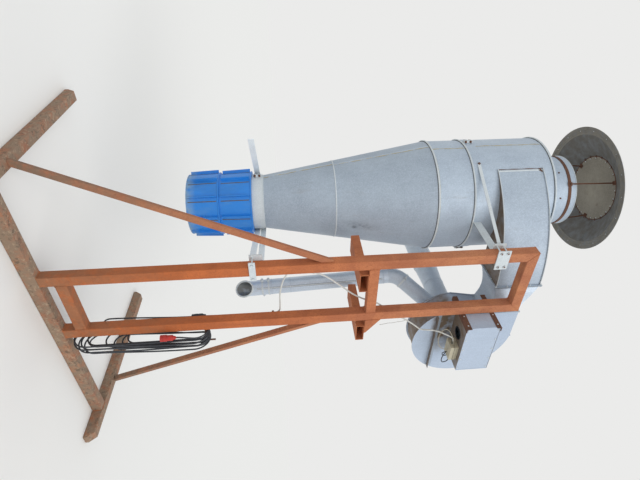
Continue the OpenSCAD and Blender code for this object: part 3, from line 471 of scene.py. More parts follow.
def hex_bolt(across, head, tip=0.0):
    """Rings of a hexagon head on a round washer, along +Z: radius = half width / cos of the turn from a flat.
    A tip adds the thread's end."""
    washer, flat = 1.4, 1.5
    six = across / 2 / np.cos(np.where(np.arange(12) % 2, np.pi / 6, 0.0))
    levels = [(across / 2 * washer, 0), (across / 2 * washer, flat), (six, flat + 0.1),
              (six, flat + head * 0.85), (six * 0.86, flat + head)]
    if tip:
        levels += [(across * 0.3, flat + 0.1 + head), (across * 0.3, flat + 0.1 + head + tip)]
    turn = full_turn(12)
    return np.stack([points(r * np.cos(turn), r * np.sin(turn), float(h)) for r, h in levels])


def dome(r, h):
    """Rings of a round rivet head along +Z: radius r cos e, height h sin e, with e from 0 to near 90."""
    rise, turn = np.radians([0, 35, 65, 86])[:, None], full_turn(8)
    return points(r * np.cos(rise) * np.cos(turn), r * np.cos(rise) * np.sin(turn), h * np.sin(rise))


def set_at(rings, places, axes):
    """Copies of a small ringed shape, one at each place with its +Z turned along that place's axis."""
    places = np.atleast_2d(np.asarray(places, float))
    axes = unit(np.broadcast_to(np.asarray(axes, float), places.shape))
    side = unit(np.cross(axes, np.where(np.abs(axes[:, 2:3]) > 0.9, [[1.0, 0, 0]], [[0, 0, 1.0]])))
    base, faces = rings_to_mesh(rings)
    turned_on = np.stack([side, np.cross(axes, side), axes], 1)
    return [(place + base @ way, faces) for place, way in zip(places, turned_on)]


def through(at, way, reach, across, head, tip):
    """A bolt through a joint: its head on one side, and its nut with the thread's tip on the other."""
    return (set_at(hex_bolt(across, head), at + way * reach, way)
            + set_at(hex_bolt(across, head, tip), at - way * reach, -way))


def linked(name, data):
    """An object in the scene with its data."""
    obj = bpy.data.objects.new(name, data)
    bpy.context.scene.collection.objects.link(obj)
    return obj


def aimed(obj, right, up, back, place=(0, 0, 0)):
    """Turns an object's axes along right, up and back, and puts it in its place."""
    turn = np.eye(4)
    turn[:3] = np.stack([right, up, back, place], 1)
    obj.matrix_world = Matrix(turn.tolist())


def coated(mesh, finish):
    """Gives a mesh its one finish."""
    mesh.materials.clear()
    mesh.materials.append(FINISHES[finish])


def add_object(name, mesh, finish):
    """An object at the origin with its finish, carried by the root body."""
    coated(mesh, finish)
    obj = linked(name, mesh)
    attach(obj, "root")
    return obj


def merged(mesh, gap, also):
    """Merges points closer than gap metres and does one thing more on the same edit."""
    work = bmesh.new()
    work.from_mesh(mesh)
    bmesh.ops.remove_doubles(work, verts=work.verts, dist=gap)
    also(work)
    work.to_mesh(mesh)
    work.free()


def piece(name, parts, finish, smooth=40):
    """One object from parts given in mm: its doubles are merged and its faces turned outwards."""
    corners, faces, start = [], [], 0
    for p, f in parts:
        corners.append(p)
        faces += [[i + start for i in face] for face in f]
        start += len(p)
    mesh = bpy.data.meshes.new(name)
    mesh.from_pydata((np.concatenate(corners) / 1000).tolist(), [], faces)
    merged(mesh, 1e-6, lambda work: bmesh.ops.recalc_face_normals(work, faces=work.faces))
    mesh.shade_smooth()
    mesh.set_sharp_from_angle(angle=math.radians(smooth))
    obj = add_object(name, mesh, finish)
    return obj


def dress(names, finish):
    """CAD nodes whose shape is right get their finish."""
    for name in names:
        coated(NODES[name].data, finish)


def rounded(names, finish, radius, segments=3, look=None):
    """Merged copies of nodes, with joined flat faces and rounded edges, that stand in for them. look is a
    variant of the finish."""
    for name in names:
        mesh = NODES[name].data.copy()
        merged(mesh, 1e-5, lambda work: bmesh.ops.dissolve_limit(
            work, angle_limit=math.radians(0.5), verts=work.verts, edges=work.edges))
        if "custom_normal" in mesh.attributes:
            mesh.attributes.remove(mesh.attributes["custom_normal"])
        mesh.shade_smooth()
        obj = add_object(name + "_edged", mesh, look or finish)
        edge = obj.modifiers.new("rounded_edges", "BEVEL")
        edge.width, edge.segments, edge.limit_method = radius, segments, "ANGLE"
        edge.angle_limit, edge.harden_normals = math.radians(30), True
        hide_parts(name)


def weld(start, end, width):
    """A rippled bead on a line: radius = half width * (1 + 0.14 sin(2 pi s / 5) + 0.08 sin(0.9 s))."""
    start, end = np.asarray(start, float), np.asarray(end, float)
    run = np.linalg.norm(end - start)
    s = np.linspace(0, run, max(int(run / 1.4), 8))
    ripple = 1 + 0.14 * np.sin(2 * np.pi * s / 5) + 0.08 * np.sin(s * 0.9)
    ref = (0, 0, 1) if start[2] == end[2] else (0, 1, 0)
    return carried(start + s[:, None] * (end - start) / run, circle(width / 2, 8), ref, widen=ripple)


# The motor cable's way from the terminal box to the coupler, and the short free wires near the box: name,
# steps between points, thickness in metres, finish, far end and points.
ROUTE = [
    (420, -93, 3096), (388, -94, 3090), (360, -90, 3058), (342, -80, 3018), (328, -66, 2976),
    (326, -48, 2930), (338, -28, 2880), (348, -6, 2834), (318, 16, 2784), (282, 38, 2724), (250, 50, 2666),
    (204, 55, 2600), (150, 58, 2538), (97, 60, 2482), (58, 60, 2423), (30, 60, 2356), (-6, 60, 2300),
    (-50, 60, 2244), (-99, 60, 2194), (-152, 60, 2138), (-205, 60, 2082), (-242, 60, 2032),
    (-266, 60, 1982), (-280, 60, 1932), (-306, 58, 1894), (-344, 54, 1876), (-366, 52, 1832),
    (-344, 54, 1788), (-302, 58, 1776), (-258, 60, 1758), (-205, 60, 1734), (-130, 60, 1714),
    (-45, 60, 1703), (40, 60, 1700), (104, 61, 1690), (128, 62, 1640), (131, 64, 1500), (138, 70, 1340),
    (150, 88, 1210), (163.7, 105, 1110)]
FREE_WIRES = [
    ("frayed_tie_tail", 6, 0.0046, "white_cable", "bare", [
        (278, 39, 2717), (284, 36, 2700), (289, 35, 2678), (292, 36, 2650), (299, 37, 2622),
        (303, 38, 2596), (301, 37, 2572), (308, 38, 2548), (312, 37, 2524), (317, 38, 2500)]),
    ("thin_wire_loop", 8, 0.0052, "tan_wire", "object", [
        (446, -118, 3090), (418, -122, 3092), (372, -124, 3082), (318, -124, 3060), (266, -122, 3032),
        (240, -120, 3002), (250, -119, 2976), (286, -118, 2960), (344, -117, 2955), (404, -115, 2964),
        (456, -111, 2986), (492, -106, 3018), (506, -103, 3048), (508, -102, 3070)]),
    ("front_black_wire", 8, 0.008, "black_cable", "object", [
        (596, -110, 3092), (612, -112, 3092), (640, -116, 3078), (652, -120, 3052), (640, -124, 3030),
        (612, -124, 3022), (580, -116, 3030), (556, -100, 3052), (548, -90, 3067)]),
    ("rear_black_wire", 8, 0.0072, "black_cable", "object", [
        (596, -76, 3092), (606, -76, 3090), (622, -74, 3080), (628, -72, 3066), (622, -70, 3050),
        (604, -68, 3046), (590, -66, 3060), (590, -66, 3084), (600, -64, 3110), (606, -62, 3133)]),
]


def smooth_route(route, steps):
    """The curve b + f/2 (c - a + f (2a - 5b + 4c - d + f (3 (b - c) + d - a))) through every point."""
    p = np.asarray(route, float)
    t = np.linspace(0, len(p) - 1, (len(p) - 1) * steps + 1)
    i = np.minimum(t.astype(int), len(p) - 2)
    f = (t - i)[:, None]
    a, b, c, d = p[np.maximum(i - 1, 0)], p[i], p[i + 1], p[np.minimum(i + 2, len(p) - 1)]
    return b + f / 2 * (c - a + f * (2 * a - 5 * b + 4 * c - d + f * (3 * (b - c) + d - a)))


class CYCLONE_OT_finishes(bpy.types.Operator):
    """Mix the paints, zincs, plastics and rubbers"""
    bl_idname = "cyclone.finishes"
    bl_label = "Finishes"

    def execute(self, context):
        mix_finishes(context.scene)
        return {"FINISHED"}


class CYCLONE_OT_camera(bpy.types.Operator):
    """Set the camera at eye level"""
    bl_idname = "cyclone.camera"
    bl_label = "Camera"

    def execute(self, context):
        data = bpy.data.cameras.new("eye_level")
        # The focal length is 446/640 of the sensor's width.
        data.sensor_fit, data.sensor_width, data.lens = "HORIZONTAL", 36.0, 446 / 640 * 36
        camera = linked("eye_level", data)
        right = np.array([0.79494, -0.60488, -0.04688])
        up = np.array([-0.00542, -0.08434, 0.99642])
        forward = np.array([0.60667, 0.79184, 0.07033])
        aimed(camera, up, -right, -forward, (-2.4577, -2.4016, 1.7887))
        context.scene.camera = camera
        return {"FINISHED"}


class CYCLONE_OT_motor_cable(bpy.types.Operator):
    """Run the motor's cable from the terminal box along the frame to the coupler"""
    bl_idname = "cyclone.motor_cable"
    bl_label = "Motor Cable"

    def execute(self, context):
        size = context.scene.cyclone_cables.cable
        path = smooth_route(ROUTE, 8)
        cable = piece("motor_cable_sheath", [carried(path, circle(size * 500, 14), (0, 1, 0))], "white_cable")
        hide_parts("motor_cable")
        grip = [(0.1, 0), (15, 0), (19, 3), (19, 22), (21, 24), (21, 50), (19.5, 52), (19.5, 56), (21, 58),
                (21, 84), (18, 88), (15.5, 92), (14, 108), (7, 110), (0.1, 110)]
        shell = piece("coupler_body", [turned(grip, (163.7, 105, 1000), sides=32)], "black_cable", 35)
        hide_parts("cable_coupler")
        tape = [(5.8, -14), (8.0, -12), (8.6, -4), (7.6, 3), (8.4, 10), (5.8, 14)]
        wrap = piece("cable_tape_wrap", [turned(tape, (-273, 60, 1957), (-0.27, 0, -0.963), 20)],
                     "white_cable", 60)
        for name, steps, across, finish, end, route in FREE_WIRES:
            path = smooth_route(route, steps)
            wire = piece(name, [carried(path, circle(across * 500, 10), (0.1, 1, 0.05))], finish)
        dress(["cable_clips"], "rusty_fittings")
        return {"FINISHED"}


def eased(a, b, t):
    """From a to b with a level start and end: a + (b - a) t t (3 - 2 t)."""
    return a + (b - a) * t * t * (3 - 2 * t)


def hank_path():
    """A U from the coupler behind the hank, then loops over the hook in planes square to X: a half circle
    over the top, the front limb down, a half circle below and the back limb up. Short loops lie inside, long
    ones outside and over them. One wide bend joins the two sets, and the end comes down to the plug."""
    t, turn = np.linspace(0, 1, 40), np.linspace(0, np.pi, 26)
    cos, sin = np.cos(turn), np.sin(turn)
    parts = [points(163.7, eased(105, 131.5, t), 1000 + (372 - 1000) * t)[:-1],
             points(236.1 - 72.4 * cos, 131.5, 372 - 72.4 * sin),
             points(308.5, eased(131.5, 66, t), 372 + (1060 - 372) * t)[1:-1]]
    # Each loop's x, its radius over the hook, its half width below and the height of its lowest bend.
    inner = [(308.5, 66, 72, 402), (290.4, 54, 60, 470), (272.2, 70, 76, 352), (254.1, 56, 64, 520),
             (236.0, 62, 66, None)]
    outer = [(296.0, 113, 106, 186), (278.7, 96, 112, 148), (261.5, 110, 98, 172), (244.2, 90, 114, 127),
             (227.0, 116, 104, 232), (209.7, 98, 116, 138), (192.5, 92, 0, None)]
    for loops, top, sag in ((inner, 1126.0, -3.0), (outer, 1138.5, 4.0)):
        for k, (x, r, wide, low) in enumerate(loops):
            parts.append(points(x, r * cos, top - r + r * sin))
            if low is None:
                break
            following, at, z0, z1 = loops[k + 1][0], loops[k + 1][1], top - r, low + wide
            bow = sag * (1 + math.sin(2.1 * k)) * np.sin(np.pi * t) ** 2
            parts += [points(eased(x, following, t), -eased(r, wide, t) - bow, z0 + (z1 - z0) * t)[1:-1],
                      points(following, -wide * cos, z1 - wide * sin),
                      points(following, eased(wide, at, t) + bow, z1 + (top - at - z1) * t)[1:-1]]
        if loops is inner:
            parts += [points(236, -eased(62, 66, t), 1064 + (312 - 1064) * t)[1:-1],
                      points(eased(236, 296, np.minimum(turn / (0.8 * np.pi), 1)), 23.5 - 89.5 * cos,
                             312 - 89.5 * sin),
                      points(296, 113 + 4 * np.sin(np.pi * t) ** 2, 312 + (1025.5 - 312) * t)[1:-1]]
    parts.append(points(eased(192.5, 158.7, t), -eased(92, 105, t), 1046.5 + (918 - 1046.5) * t)[1:])
    return np.concatenate(parts)


class CYCLONE_OT_lead(bpy.types.Operator):
    """Hang the black lead in its hank on the hook, with its red plug"""
    bl_idname = "cyclone.lead"
    bl_label = "Lead and Plug"

    def execute(self, context):
        size = context.scene.cyclone_cables.lead
        path = hank_path()
        strand = carried(path, circle(size * 500, 10), (0.9, 0.43, 0.0001))
        lead = piece("hank_of_lead", [strand], "black_cable")
        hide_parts("cable_hank")
        x, y, z = 158.7, -105.0, 800.0
        body = [(0.1, 5), (21, 5), (21, 0), (25.5, 0), (25.5, 12), (24, 14), (24, 18), (25.5, 20), (25.5, 46),
                (22, 49), (22, 88), (19, 92), (15, 93), (15, 97), (14, 99), (13.5, 108), (8, 112), (6.2, 118),
                (0.1, 118)]
        pins = [turned([(0.1, -0.5), (3, 0), (3, 7), (0.1, 7)], (x + dx, y + dy, z), sides=10)
                for dx, dy in ((10, 0), (-10, 0), (0, 10))]
        plug = piece("plug_body", [turned(body, (x, y, z), sides=32), *pins], "red_plug", 35)
        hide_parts("cable_plug")
        dress(["cable_hook"], "rusty_fittings")
        return {"FINISHED"}


class CYCLONE_OT_stand(bpy.types.Operator):
    """Round the tubes' corners and weld the stand together"""
    bl_idname = "cyclone.stand"
    bl_label = "Stand"

    def execute(self, context):
        settings = context.scene.cyclone_stand
        rounded(["base_beam", "left_leg", "right_leg"], "rusty_base", settings.corner)
        rounded(["left_post", "right_post", "top_rail", "mid_rail", "low_rail", "pocket_stub"], "rusty_frame",
                settings.corner)
        rounded(["left_brace", "right_brace"], "rusty_frame", 0.003, look="brace_rust")
        rounded(["left_fork_pocket", "right_fork_pocket"], "rusty_frame", 0.0035)
        # Each bead's ends and its share of the full width: the posts' feet, the rails' ends, the legs'
        # joints, the pockets, the stub and the mitres of the top corners.
        beads = [((x, -37, 88), (x, 37, 88), 1) for x in (-433, -353, 88, 168)]
        for x in (-353, 88):
            for z0, z1 in ((185, 265), (2358, 2433)):
                beads += [((x, y, z0 + 3), (x, y, z1 - 3), 0.8) for y in (-HALF_TUBE, HALF_TUBE)]
                beads += [((x, -36, z), (x, 36, z), 1) for z in (z0, z1)]
            beads.append(((x, -36, 3525), (x, 36, 3525), 1))
        for x in (-1118, 1118):
            beads += [((x, y, 6), (x, y, 82), 1) for y in (-HALF_TUBE, HALF_TUBE)]
            beads.append(((x, -37, 88), (x, 37, 88), 0.8))
        beads += [((x0, -HALF_TUBE, 2358), (x1, -HALF_TUBE, 2358), 0.8)
                  for x0, x1 in ((-301, -145), (236, 311))]
        beads += [((168, y, 2361), (168, y, 2478), 0.8) for y in (-HALF_TUBE, HALF_TUBE)]
        for x0, x1 in ((-431, -355), (166, 90)):
            beads += [((x0, y, 3603), (x1, y, 3527), 0.5) for y in (-40.2, 40.2)]
        full = settings.weld * 1000
        piece("stand_weld_beads", [weld(*ends, full * share) for *ends, share in beads], "rusty_frame", 60)
        return {"FINISHED"}


def wall(z):
    """The outer radius at a height: 300 on the collar, 466 on the drums, and below them
    226 + 240 (z - 1595) / 1385 on the cone."""
    return np.where(np.asarray(z) > 3940, 300.0, np.minimum(466.0, 226 + 240 * (z - 1595) / 1385))


class CYCLONE_OT_shell(bpy.types.Operator):
    """Roll the rims and lap and seal the seams of the cyclone's drums and cone"""
    bl_idname = "cyclone.shell"
    bl_label = "Drums and Cone"

    def execute(self, context):
        seam = context.scene.cyclone_sheet.seam * 1000
        dress(["upper_shell", "lower_shell", "roof_plate", "outlet_collar"], "zinc_shell")
        dress(["upper_cone", "lower_cone"], "zinc_cone")
        # Each bead's radius, height, half width and half height: joints, cone, neck and collar.
        rows = [(471.4, z, 6.2, 6.6, 16, 240) for z in ROLLED_JOINTS]
        rows += [(wall(2187) + 1.0, 2187, 2.6, 4.5), (227.0, 1599, 2.2, 4.0, 12, 160),
                 (300.5, 4221, 3.4, 3.4), (301.5, 3945, 3.2, 4.0)]
        # The beads take the paler zinc of the fittings: a painted highlight along the rims.
        piece("rolled_joints", [rolled(*row) for row in rows], "zinc_fittings")
        # Sealant on the rims' tops, its yellowish line also a painted highlight.
        caulk_and_highlight = [rolled(467.4, z + 8.2, 2.2, 1.8, 8, 240, 0.5) for z in ROLLED_JOINTS[1:]]
        caulk_and_highlight.append(rolled(301.8, 3950.0, 2.4, 2.0, 8, 160, 0.6))
        piece("rim_sealant_and_highlight", caulk_and_highlight, "sealant")
        laps = []
        for z0, z1, deg, thick in ((3364, 3926, 181, 1.6), (2992, 3268, 184, 1.6), (3950, 4144, 196, 1.6),
                                   (2195, 2976, 179, 1.8), (1602, 2180, 176, 1.8)):
            z = np.linspace(z0, z1, 24)
            strip = rectangle(seam, thick * 2, thick * 0.5)
            laps.append(carried(around(wall(z) + thick * 0.2, deg, z), strip, outward(deg)))
        piece("lap_seams", laps, "zinc_shell", 60)
        sealed = []
        for z0, z1, deg in ((3366, 3926, 181), (2994, 3266, 184), (2200, 2974, 179), (1606, 2178, 176)):
            z = np.linspace(z0, z1, 60)
            beside = np.degrees((seam / 2 + 0.5) / wall(z1) + 0.004 * np.sin(z / 31))
            sealed.append(carried(around(wall(z) + 1.2, deg + beside, z), circle(2.1, 8), (0.3, 1, 0),
                                  widen=1 + 0.35 * np.sin(z / 17) + 0.2 * np.sin(z / 5.3)))
        piece("seam_sealant", sealed, "sealant", 60)
        # Dark rings under the rolled rims: painted shadow.
        dark = [hoop(rectangle(4.4, 2.4, 0.5) + [467.4, z - 7.4], 200) for z in ROLLED_JOINTS]
        piece("shadow_gaps_under_rims", dark, "seam_dirt")
        return {"FINISHED"}


class CYCLONE_OT_cap(bpy.types.Operator):
    """Hem the rain cap and fix its disc and rods"""
    bl_idname = "cyclone.cap"
    bl_label = "Rain Cap"

    def execute(self, context):
        dress(["rain_cap"], "zinc_cap")
        dress(["cap_disc"], "disc_zinc")
        dress(["collar_strap", "cap_rods"], "rusty_fittings")
        hems = [rolled(544.6, 4452.6, 3.6, 3.2, 14, 240)]
        hems += [rolled(*row, 10, 220) for row in ((485.0, 4466.0, 4.0, 1.8), (485.0, 4462.6, 4.0, 1.6),
                                                   (524.0, 4455.0, 2.4, 2.0), (505.0, 4459.4, 2.0, 1.8))]
        # The laps run over the brim of 12 degrees and up the cone of 31 degrees, and again below.
        r = np.linspace(540, 24, 40)
        slope = np.where(r > 485, 4453 + (547 - r) * math.tan(math.radians(12)),
                         4466.2 + (485 - r) * math.tan(math.radians(31)))
        for deg in (-152, -32, 88):
            path = around(r, deg, slope)
            below = path[(r > 290) & (r < 538)] - [0, 0, 3.4]
            hems.append(carried(path, rectangle(16, 4, 1), (-0.001 * math.sin(math.radians(deg)), 0, 1)))
            hems.append(carried(below, rectangle(16, 3, 1), (0, 0.001, 1)))
        hems.append(turned([(26, 0), (26, 3), (9, 8), (0.1, 9)], (-378, 897, 4738)))
        piece("cap_hems_and_laps", hems, "zinc_cap")
        clips = [rolled(285.0, 4581.5, 3.4, 3.4, 12, 160, 0.6)]
        hook = np.array([(288, 4584), (296, 4578), (292, 4572), (280, 4575), (274, 4579)])
        for deg in range(6, 366, 15):
            bend = smooth_route(around(hook[:, 0], deg, hook[:, 1]), 3)
            clips.append(carried(bend, circle(2.6, 8), np.cross(UP, outward(deg))))
        piece("disc_rust_ring_and_clips", clips, "rusty_fittings")
        heads = set_at(dome(5.5, 3.2), around(272, np.arange(0, 360, 15) + 4, 4580.0), (0, 0, -1))
        heads += set_at(dome(4.0, 2.4), around(515, np.arange(0, 360, 20) + 7, 4456.8), (0, 0, -1))
        piece("cap_rivets", heads, "zinc_fittings")
        bolts = []
        for deg in (-130, -10, 110):
            out = outward(deg)
            for across in (-11, 11):
                at = AXIS + across * np.cross(UP, out)
                bolts += set_at(hex_bolt(10, 5), at + out * 309 + [0, 0, 4161], out)
                bolts += set_at(hex_bolt(10, 5), at + out * 268 + [0, 0, 4575], (0, 0, -1))
        for deg in (-108, -150, -66):
            bolts += set_at(hex_bolt(10, 6), around(300, deg, 4085), outward(deg))
        piece("rod_bolts", bolts, "rusty_fittings")
        return {"FINISHED"}


class CYCLONE_OT_scroll(bpy.types.Operator):
    """Bolt the inlet scroll to the duct"""
    bl_idname = "cyclone.scroll"
    bl_label = "Inlet Scroll and Duct"

    def execute(self, context):
        dress(["inlet_scroll"], "zinc_scroll")
        dress(["scroll_floor"], "stained_floor")
        turn = np.linspace(212.6, 267.4, 90)
        lips = [carried(around(1034.5, turn, z, SCROLL_CENTRE), circle(4.2, 12, 3.4), UP)
                for z in (3473.4, 3843.6)]
        out = outward(213.4)
        beside = np.cross(out, UP)
        foot = SCROLL_CENTRE + 1028.4 * out
        lips.append(carried(foot + points(0, 0, np.array([3478.0, 3841.0])), rectangle(12, 4, 1), out))
        piece("scroll_lips_and_lap", lips, "zinc_fittings")
        z = np.linspace(3480, 3840, 50)
        wander = foot + out * 1.6 + beside * 14 + points(0.5 * np.sin(z / 23), 0, z)
        stain = [carried(wander, circle(2.0, 8), out, widen=1 + 0.4 * np.sin(z / 19))]
        for k in range(5):
            top = foot + out * 2 + [0, 0, 3836 - 3.0 * k] + beside * (6 * k - 14)
            stain.append(carried([top, top - [0, 0, 9 + 7 * (k % 3)]], circle(3.4, 8), out))
        piece("scroll_seam_rust", stain, "rusty_fittings")
        # Two flanges of 16 mm round the duct's openings, with bolts along their middle.
        wide, bolt = 16, hex_bolt(10, 5)
        frames, bolts = [], []
        for x0, x1, y0, y1, z0, z1, ny, nz in ((66, 78, 150, 450, 3475, 3845, 4, 5),
                                               (265, 277, 60, 260, 3365, 3670, 4, 4)):
            inner = np.array([(y0, z0), (y1, z0), (y1, z1), (y0, z1)], float)
            outer = inner + np.array([(-1, -1), (1, -1), (1, 1), (-1, 1)]) * wide
            frames.append(rings_to_mesh(np.stack([points(x, *edge.T) for x, edge in (
                (x0, inner), (x1, inner), (x1, outer), (x0, outer))], 1), True))
            y, z = np.linspace(y0 - 8, y1 + 8, ny), np.linspace(z0 - 8, z1 + 8, nz)
            near = np.concatenate([points(x0, y, z[0]), points(x0, y, z[-1]), points(x0, y[0], z[1:-1]),
                                   points(x0, y[-1], z[1:-1])])
            bolts += set_at(bolt, near, (-1, 0, 0))
            if x0 == 66:
                bolts += set_at(hex_bolt(10, 5, 5), near + [x1 - x0, 0, 0], (1, 0, 0))
        flange = piece("slim_duct_flanges", frames, "zinc_shell")
        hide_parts("duct_flanges")
        dress(["transition_duct"], "zinc_pipe")
        piece("flange_bolts", bolts, "zinc_fittings")
        gap = [carried([(72, y, 3460), (72, y, 3860)], rectangle(1.6, 3, 0.3), (1, 0, 0))
               for y in (133.7, 466.3)]
        piece("flange_gasket", gap, "seam_dirt")
        return {"FINISHED"}


class CYCLONE_OT_fan(bpy.types.Operator):
    """Screw the fan casing and motor cover together"""
    bl_idname = "cyclone.fan"
    bl_label = "Fan and Motor Cover"

    def execute(self, context):
        dress(["fan_wrap", "fan_back_plate", "fan_front_plate"], "zinc_fan")
        rounded(["fan_stiffener"], "stained_floor", 0.003)
        rounded(["motor_cover"], "zinc_fan", 0.004)
        dress(["motor"], "motor_grey")
        rounded(["terminal_box"], "box_cream", 0.003)
        rounded(["fan_rails"], "rusty_fittings", 0.0015, 2)
        screw, screws = hex_bolt(context.scene.cyclone_fan.screw * 800, 3.5), []
        for z in (3148, 3388):
            screws += set_at(screw, points(np.linspace(196, 656, 5), -188, z), (0, -1, 0))
        for z in (3150, 3386):
            for x, way in ((172, -1), (680, 1)):
                screws += set_at(screw, points(x, np.array([-160, -60, 36]), z), (way, 0, 0))
        piece("cover_screws", screws, "zinc_fittings")
        folds = [carried([(x, -188.6, 3137), (x, -188.6, 3399)], circle(2.2, 8), (0, 1, 0))
                 for x in (172.6, 679.4)]
        folds += [carried([(175, -189, z), (677, -189, z)], circle(2.0, 8), UP) for z in (3402, 3134.5)]
        piece("cover_folds", folds, "zinc_fan")
        grommet = [(48, 1), (55, 1), (56, -2), (55, -4), (48, -4)]
        ring = turned(grommet, (354, -68, 3134), sides=36, closed=True)
        piece("floor_hole_edging", [ring], "black_cable")
        lid = [carried([(442, -93, 3100), (592, -93, 3100)], rectangle(112, 3, 1), UP)]
        piece("terminal_box_lid_joint", lid, "seam_dirt")
        gland = [(0.1, 0), (13, 0), (13, 6), (11, 7), (11, 12), (12, 13), (12, 18), (8, 24), (6.5, 25),
                 (0.1, 25)]
        glands = [turned(gland, (442.5, -93, 3096), (-1, 0, 0))]
        glands += [turned([(0.1, 0), (12, 0), (12, 8), (10, 10), (0.1, 10)], (592, y, 3092), (1, 0, 0), 20)
                   for y in (-110, -76)]
        piece("box_glands", glands, "black_cable", 35)
        return {"FINISHED"}


class CYCLONE_OT_pipes(bpy.types.Operator):
    """Seam the pipes, roll the mouth's rim and tighten the pipe clamps"""
    bl_idname = "cyclone.pipes"
    bl_label = "Pipes"

    def execute(self, context):
        settings = context.scene.cyclone_pipes
        dress(["suction_box", "suction_pipe", "main_pipe", "branch_pipe"], "zinc_pipe")
        dress(["down_pipe"], "zinc_down")
        dress(["pipe_couplings"], "zinc_fittings")
        # The down pipe leans by 3.2 degrees from the branch's bend to its mouth, which is cut on a slant.
        lean, level = math.radians(3.2), np.array([0, 1.0, 0])
        down = np.array([math.sin(lean), 0, -math.cos(lean)])
        side = np.array([math.cos(lean), 0, math.sin(lean)])
        bend = np.array([276.0, 590, 2752])
        mouth = bend + (2752 - 1370) / math.cos(lean) * down
        cut = np.array([-0.5255, -0.5255, -0.6691])
        turn = full_turn(96)
        ring = 69.5 * spoke(turn, side, level)
        edge = mouth + ring - (ring @ cut / (down @ cut))[:, None] * down
        rim = [carried(edge, circle(settings.rim * 500, 12), cut, closed=True)]
        piece("mouth_rolled_rim", rim, "zinc_fittings")
        # Lock seams wind slowly round the down pipe, each between two thin strips of painted shade.
        seams, seam_shade_strips = [], []
        s = np.linspace(120, 1250, 60)[:, None]
        for deg in (236, 20):
            wind = math.radians(deg) + np.linspace(0, 0.22, 60)
            path = mouth + 69.6 * spoke(wind, side, level) - s * down
            seams.append(carried(path, rectangle(settings.seam * 1000, 3.4, 1.0), outward(deg)))
            beside = 69 * 0.085 * spoke(wind + np.pi / 2, side, level)
            seam_shade_strips += [carried(path + way * beside, rectangle(2.6, 1.6, 0.4), outward(deg))
                        for way in (-1, 1)]
        # The suction and main pipes run level, 2 degrees off +Y.
        start, ahead = np.array([460.0, 324, 3150]), outward(88)
        across = np.cross(ahead, UP)
        for r, s0, s1 in ((108.4, 640, 1050), (92.4, 20, 330)):
            out = spoke(math.radians(150), across, UP)
            path = start + r * out + np.linspace(s0, s1, 20)[:, None] * ahead
            seams.append(carried(path, rectangle(settings.seam * 1000, 2.4, 0.7), out))
        piece("pipe_lock_seams", seams, "zinc_fittings")
        piece("pipe_seam_shadows", seam_shade_strips, "seam_shade")
        swages = [carried(start + s * ahead + r * spoke(turn, across, UP), circle(2.6, 8), ahead, True)
                  for s, r in ((36, 92), (300, 92), (650, 108), (1030, 108))]
        swages += [carried(mouth - s * down + 69 * spoke(turn, side, level), circle(2.4, 8), down, True)
                   for s in (250, 420, 1180, 1262)]
        piece("pipe_swages", swages, "zinc_pipe")
        # Clamps: two lugs and a bolt at a place on the pipe's middle, outwards by its radius.
        branch = np.array([-0.4226, 0.5677, -0.7065])
        end = bend - (180 * math.tan(math.acos(float(branch @ down)) / 2) + 7) * branch
        flat = unit(np.cross(branch, UP))
        lugs, places = [], [(end, way * flat, branch, 74) for way in (1, -1)]
        places += [(mouth - s * down, way * side, down, 74) for s, way in ((169, -1), (225, -1), (169, 1))]
        places.append((start + 617 * ahead, unit(np.array([-0.8, 0.0, -0.6])), ahead, 113))
        for at, out, along, r in places:
            tangent = np.cross(out, along)
            for s in (-8, 8):
                base = at + out * (r - 2) + tangent * s
                lugs.append(carried([base, base + out * 24], rectangle(24, 4, 1), tangent))
            lugs += through(at + out * (r + 13), tangent, 10, 11, 6, 9)
        piece("pipe_clamp_lugs", lugs, "zinc_fittings")
        return {"FINISHED"}


class CYCLONE_OT_holders(bpy.types.Operator):
    """Finish the bands, clamps and bars that hold the cyclone"""
    bl_idname = "cyclone.holders"
    bl_label = "Bands and Clamps"

    def execute(self, context):
        dress(["upper_band"], "zinc_shell")
        dress(["cone_band"], "zinc_fittings")
        rounded(["clamp_bracket", "tie_bar"], "zinc_fittings", 0.0012, 2)
        # The support bars take the paler copy of the dipped zinc: painted light.
        rounded(["support_bars"], "zinc_fittings", 0.0012, 2, "zinc_bars")
        dress(["upper_clamp", "lower_clamp"], "zinc_fittings")
        # Each pair of lugs by its angle, the band's radius, its height and the lugs' length.
        lugs, bolts = [], []
        for deg, r, z, h in ((174, 471, 3321, 74), (172, 232, 1551, 70), (330, 471, 3321, 74)):
            out = outward(deg)
            side = np.cross(UP, out)
            for s in (-9, 9):
                base = around(r + 9, deg, z - h / 2) + side * s
                lugs.append(carried([base, base + [0, 0, h]], rectangle(5, 22, 1), out))
            for dz in (-h * 0.28, h * 0.28):
                bolts += through(around(r + 11, deg, z + dz), side, 11.5, 15, 9, 12)
        piece("band_lugs", lugs, "zinc_fittings")
        piece("band_bolts", bolts, "rusty_fittings")
        nut, head = hex_bolt(16, 9, 8), hex_bolt(14, 7)
        nuts = set_at(nut, [(x, 48, z) for x in (-452, -328) for z in (3304, 3351)], (0, 1, 0))
        nuts += set_at(nut, [(x, 48, 1528) for x in (-457, -335)], (0, 1, 0))
        nuts += set_at(head, [(x, -48, z) for x in (-452, -328) for z in (3303.8, 3351.3)], (0, -1, 0))
        nuts += set_at(hex_bolt(15, 8), around(476.5, 208.8, 3328), outward(208.8))
        small = set_at(hex_bolt(13, 6), [(x, -48, 1528) for x in (-457, -335)], (0, -1, 0))
        piece("lower_clamp_heads", small, "seam_shade")
        piece("clamp_nuts", nuts, "rusty_fittings")
        return {"FINISHED"}


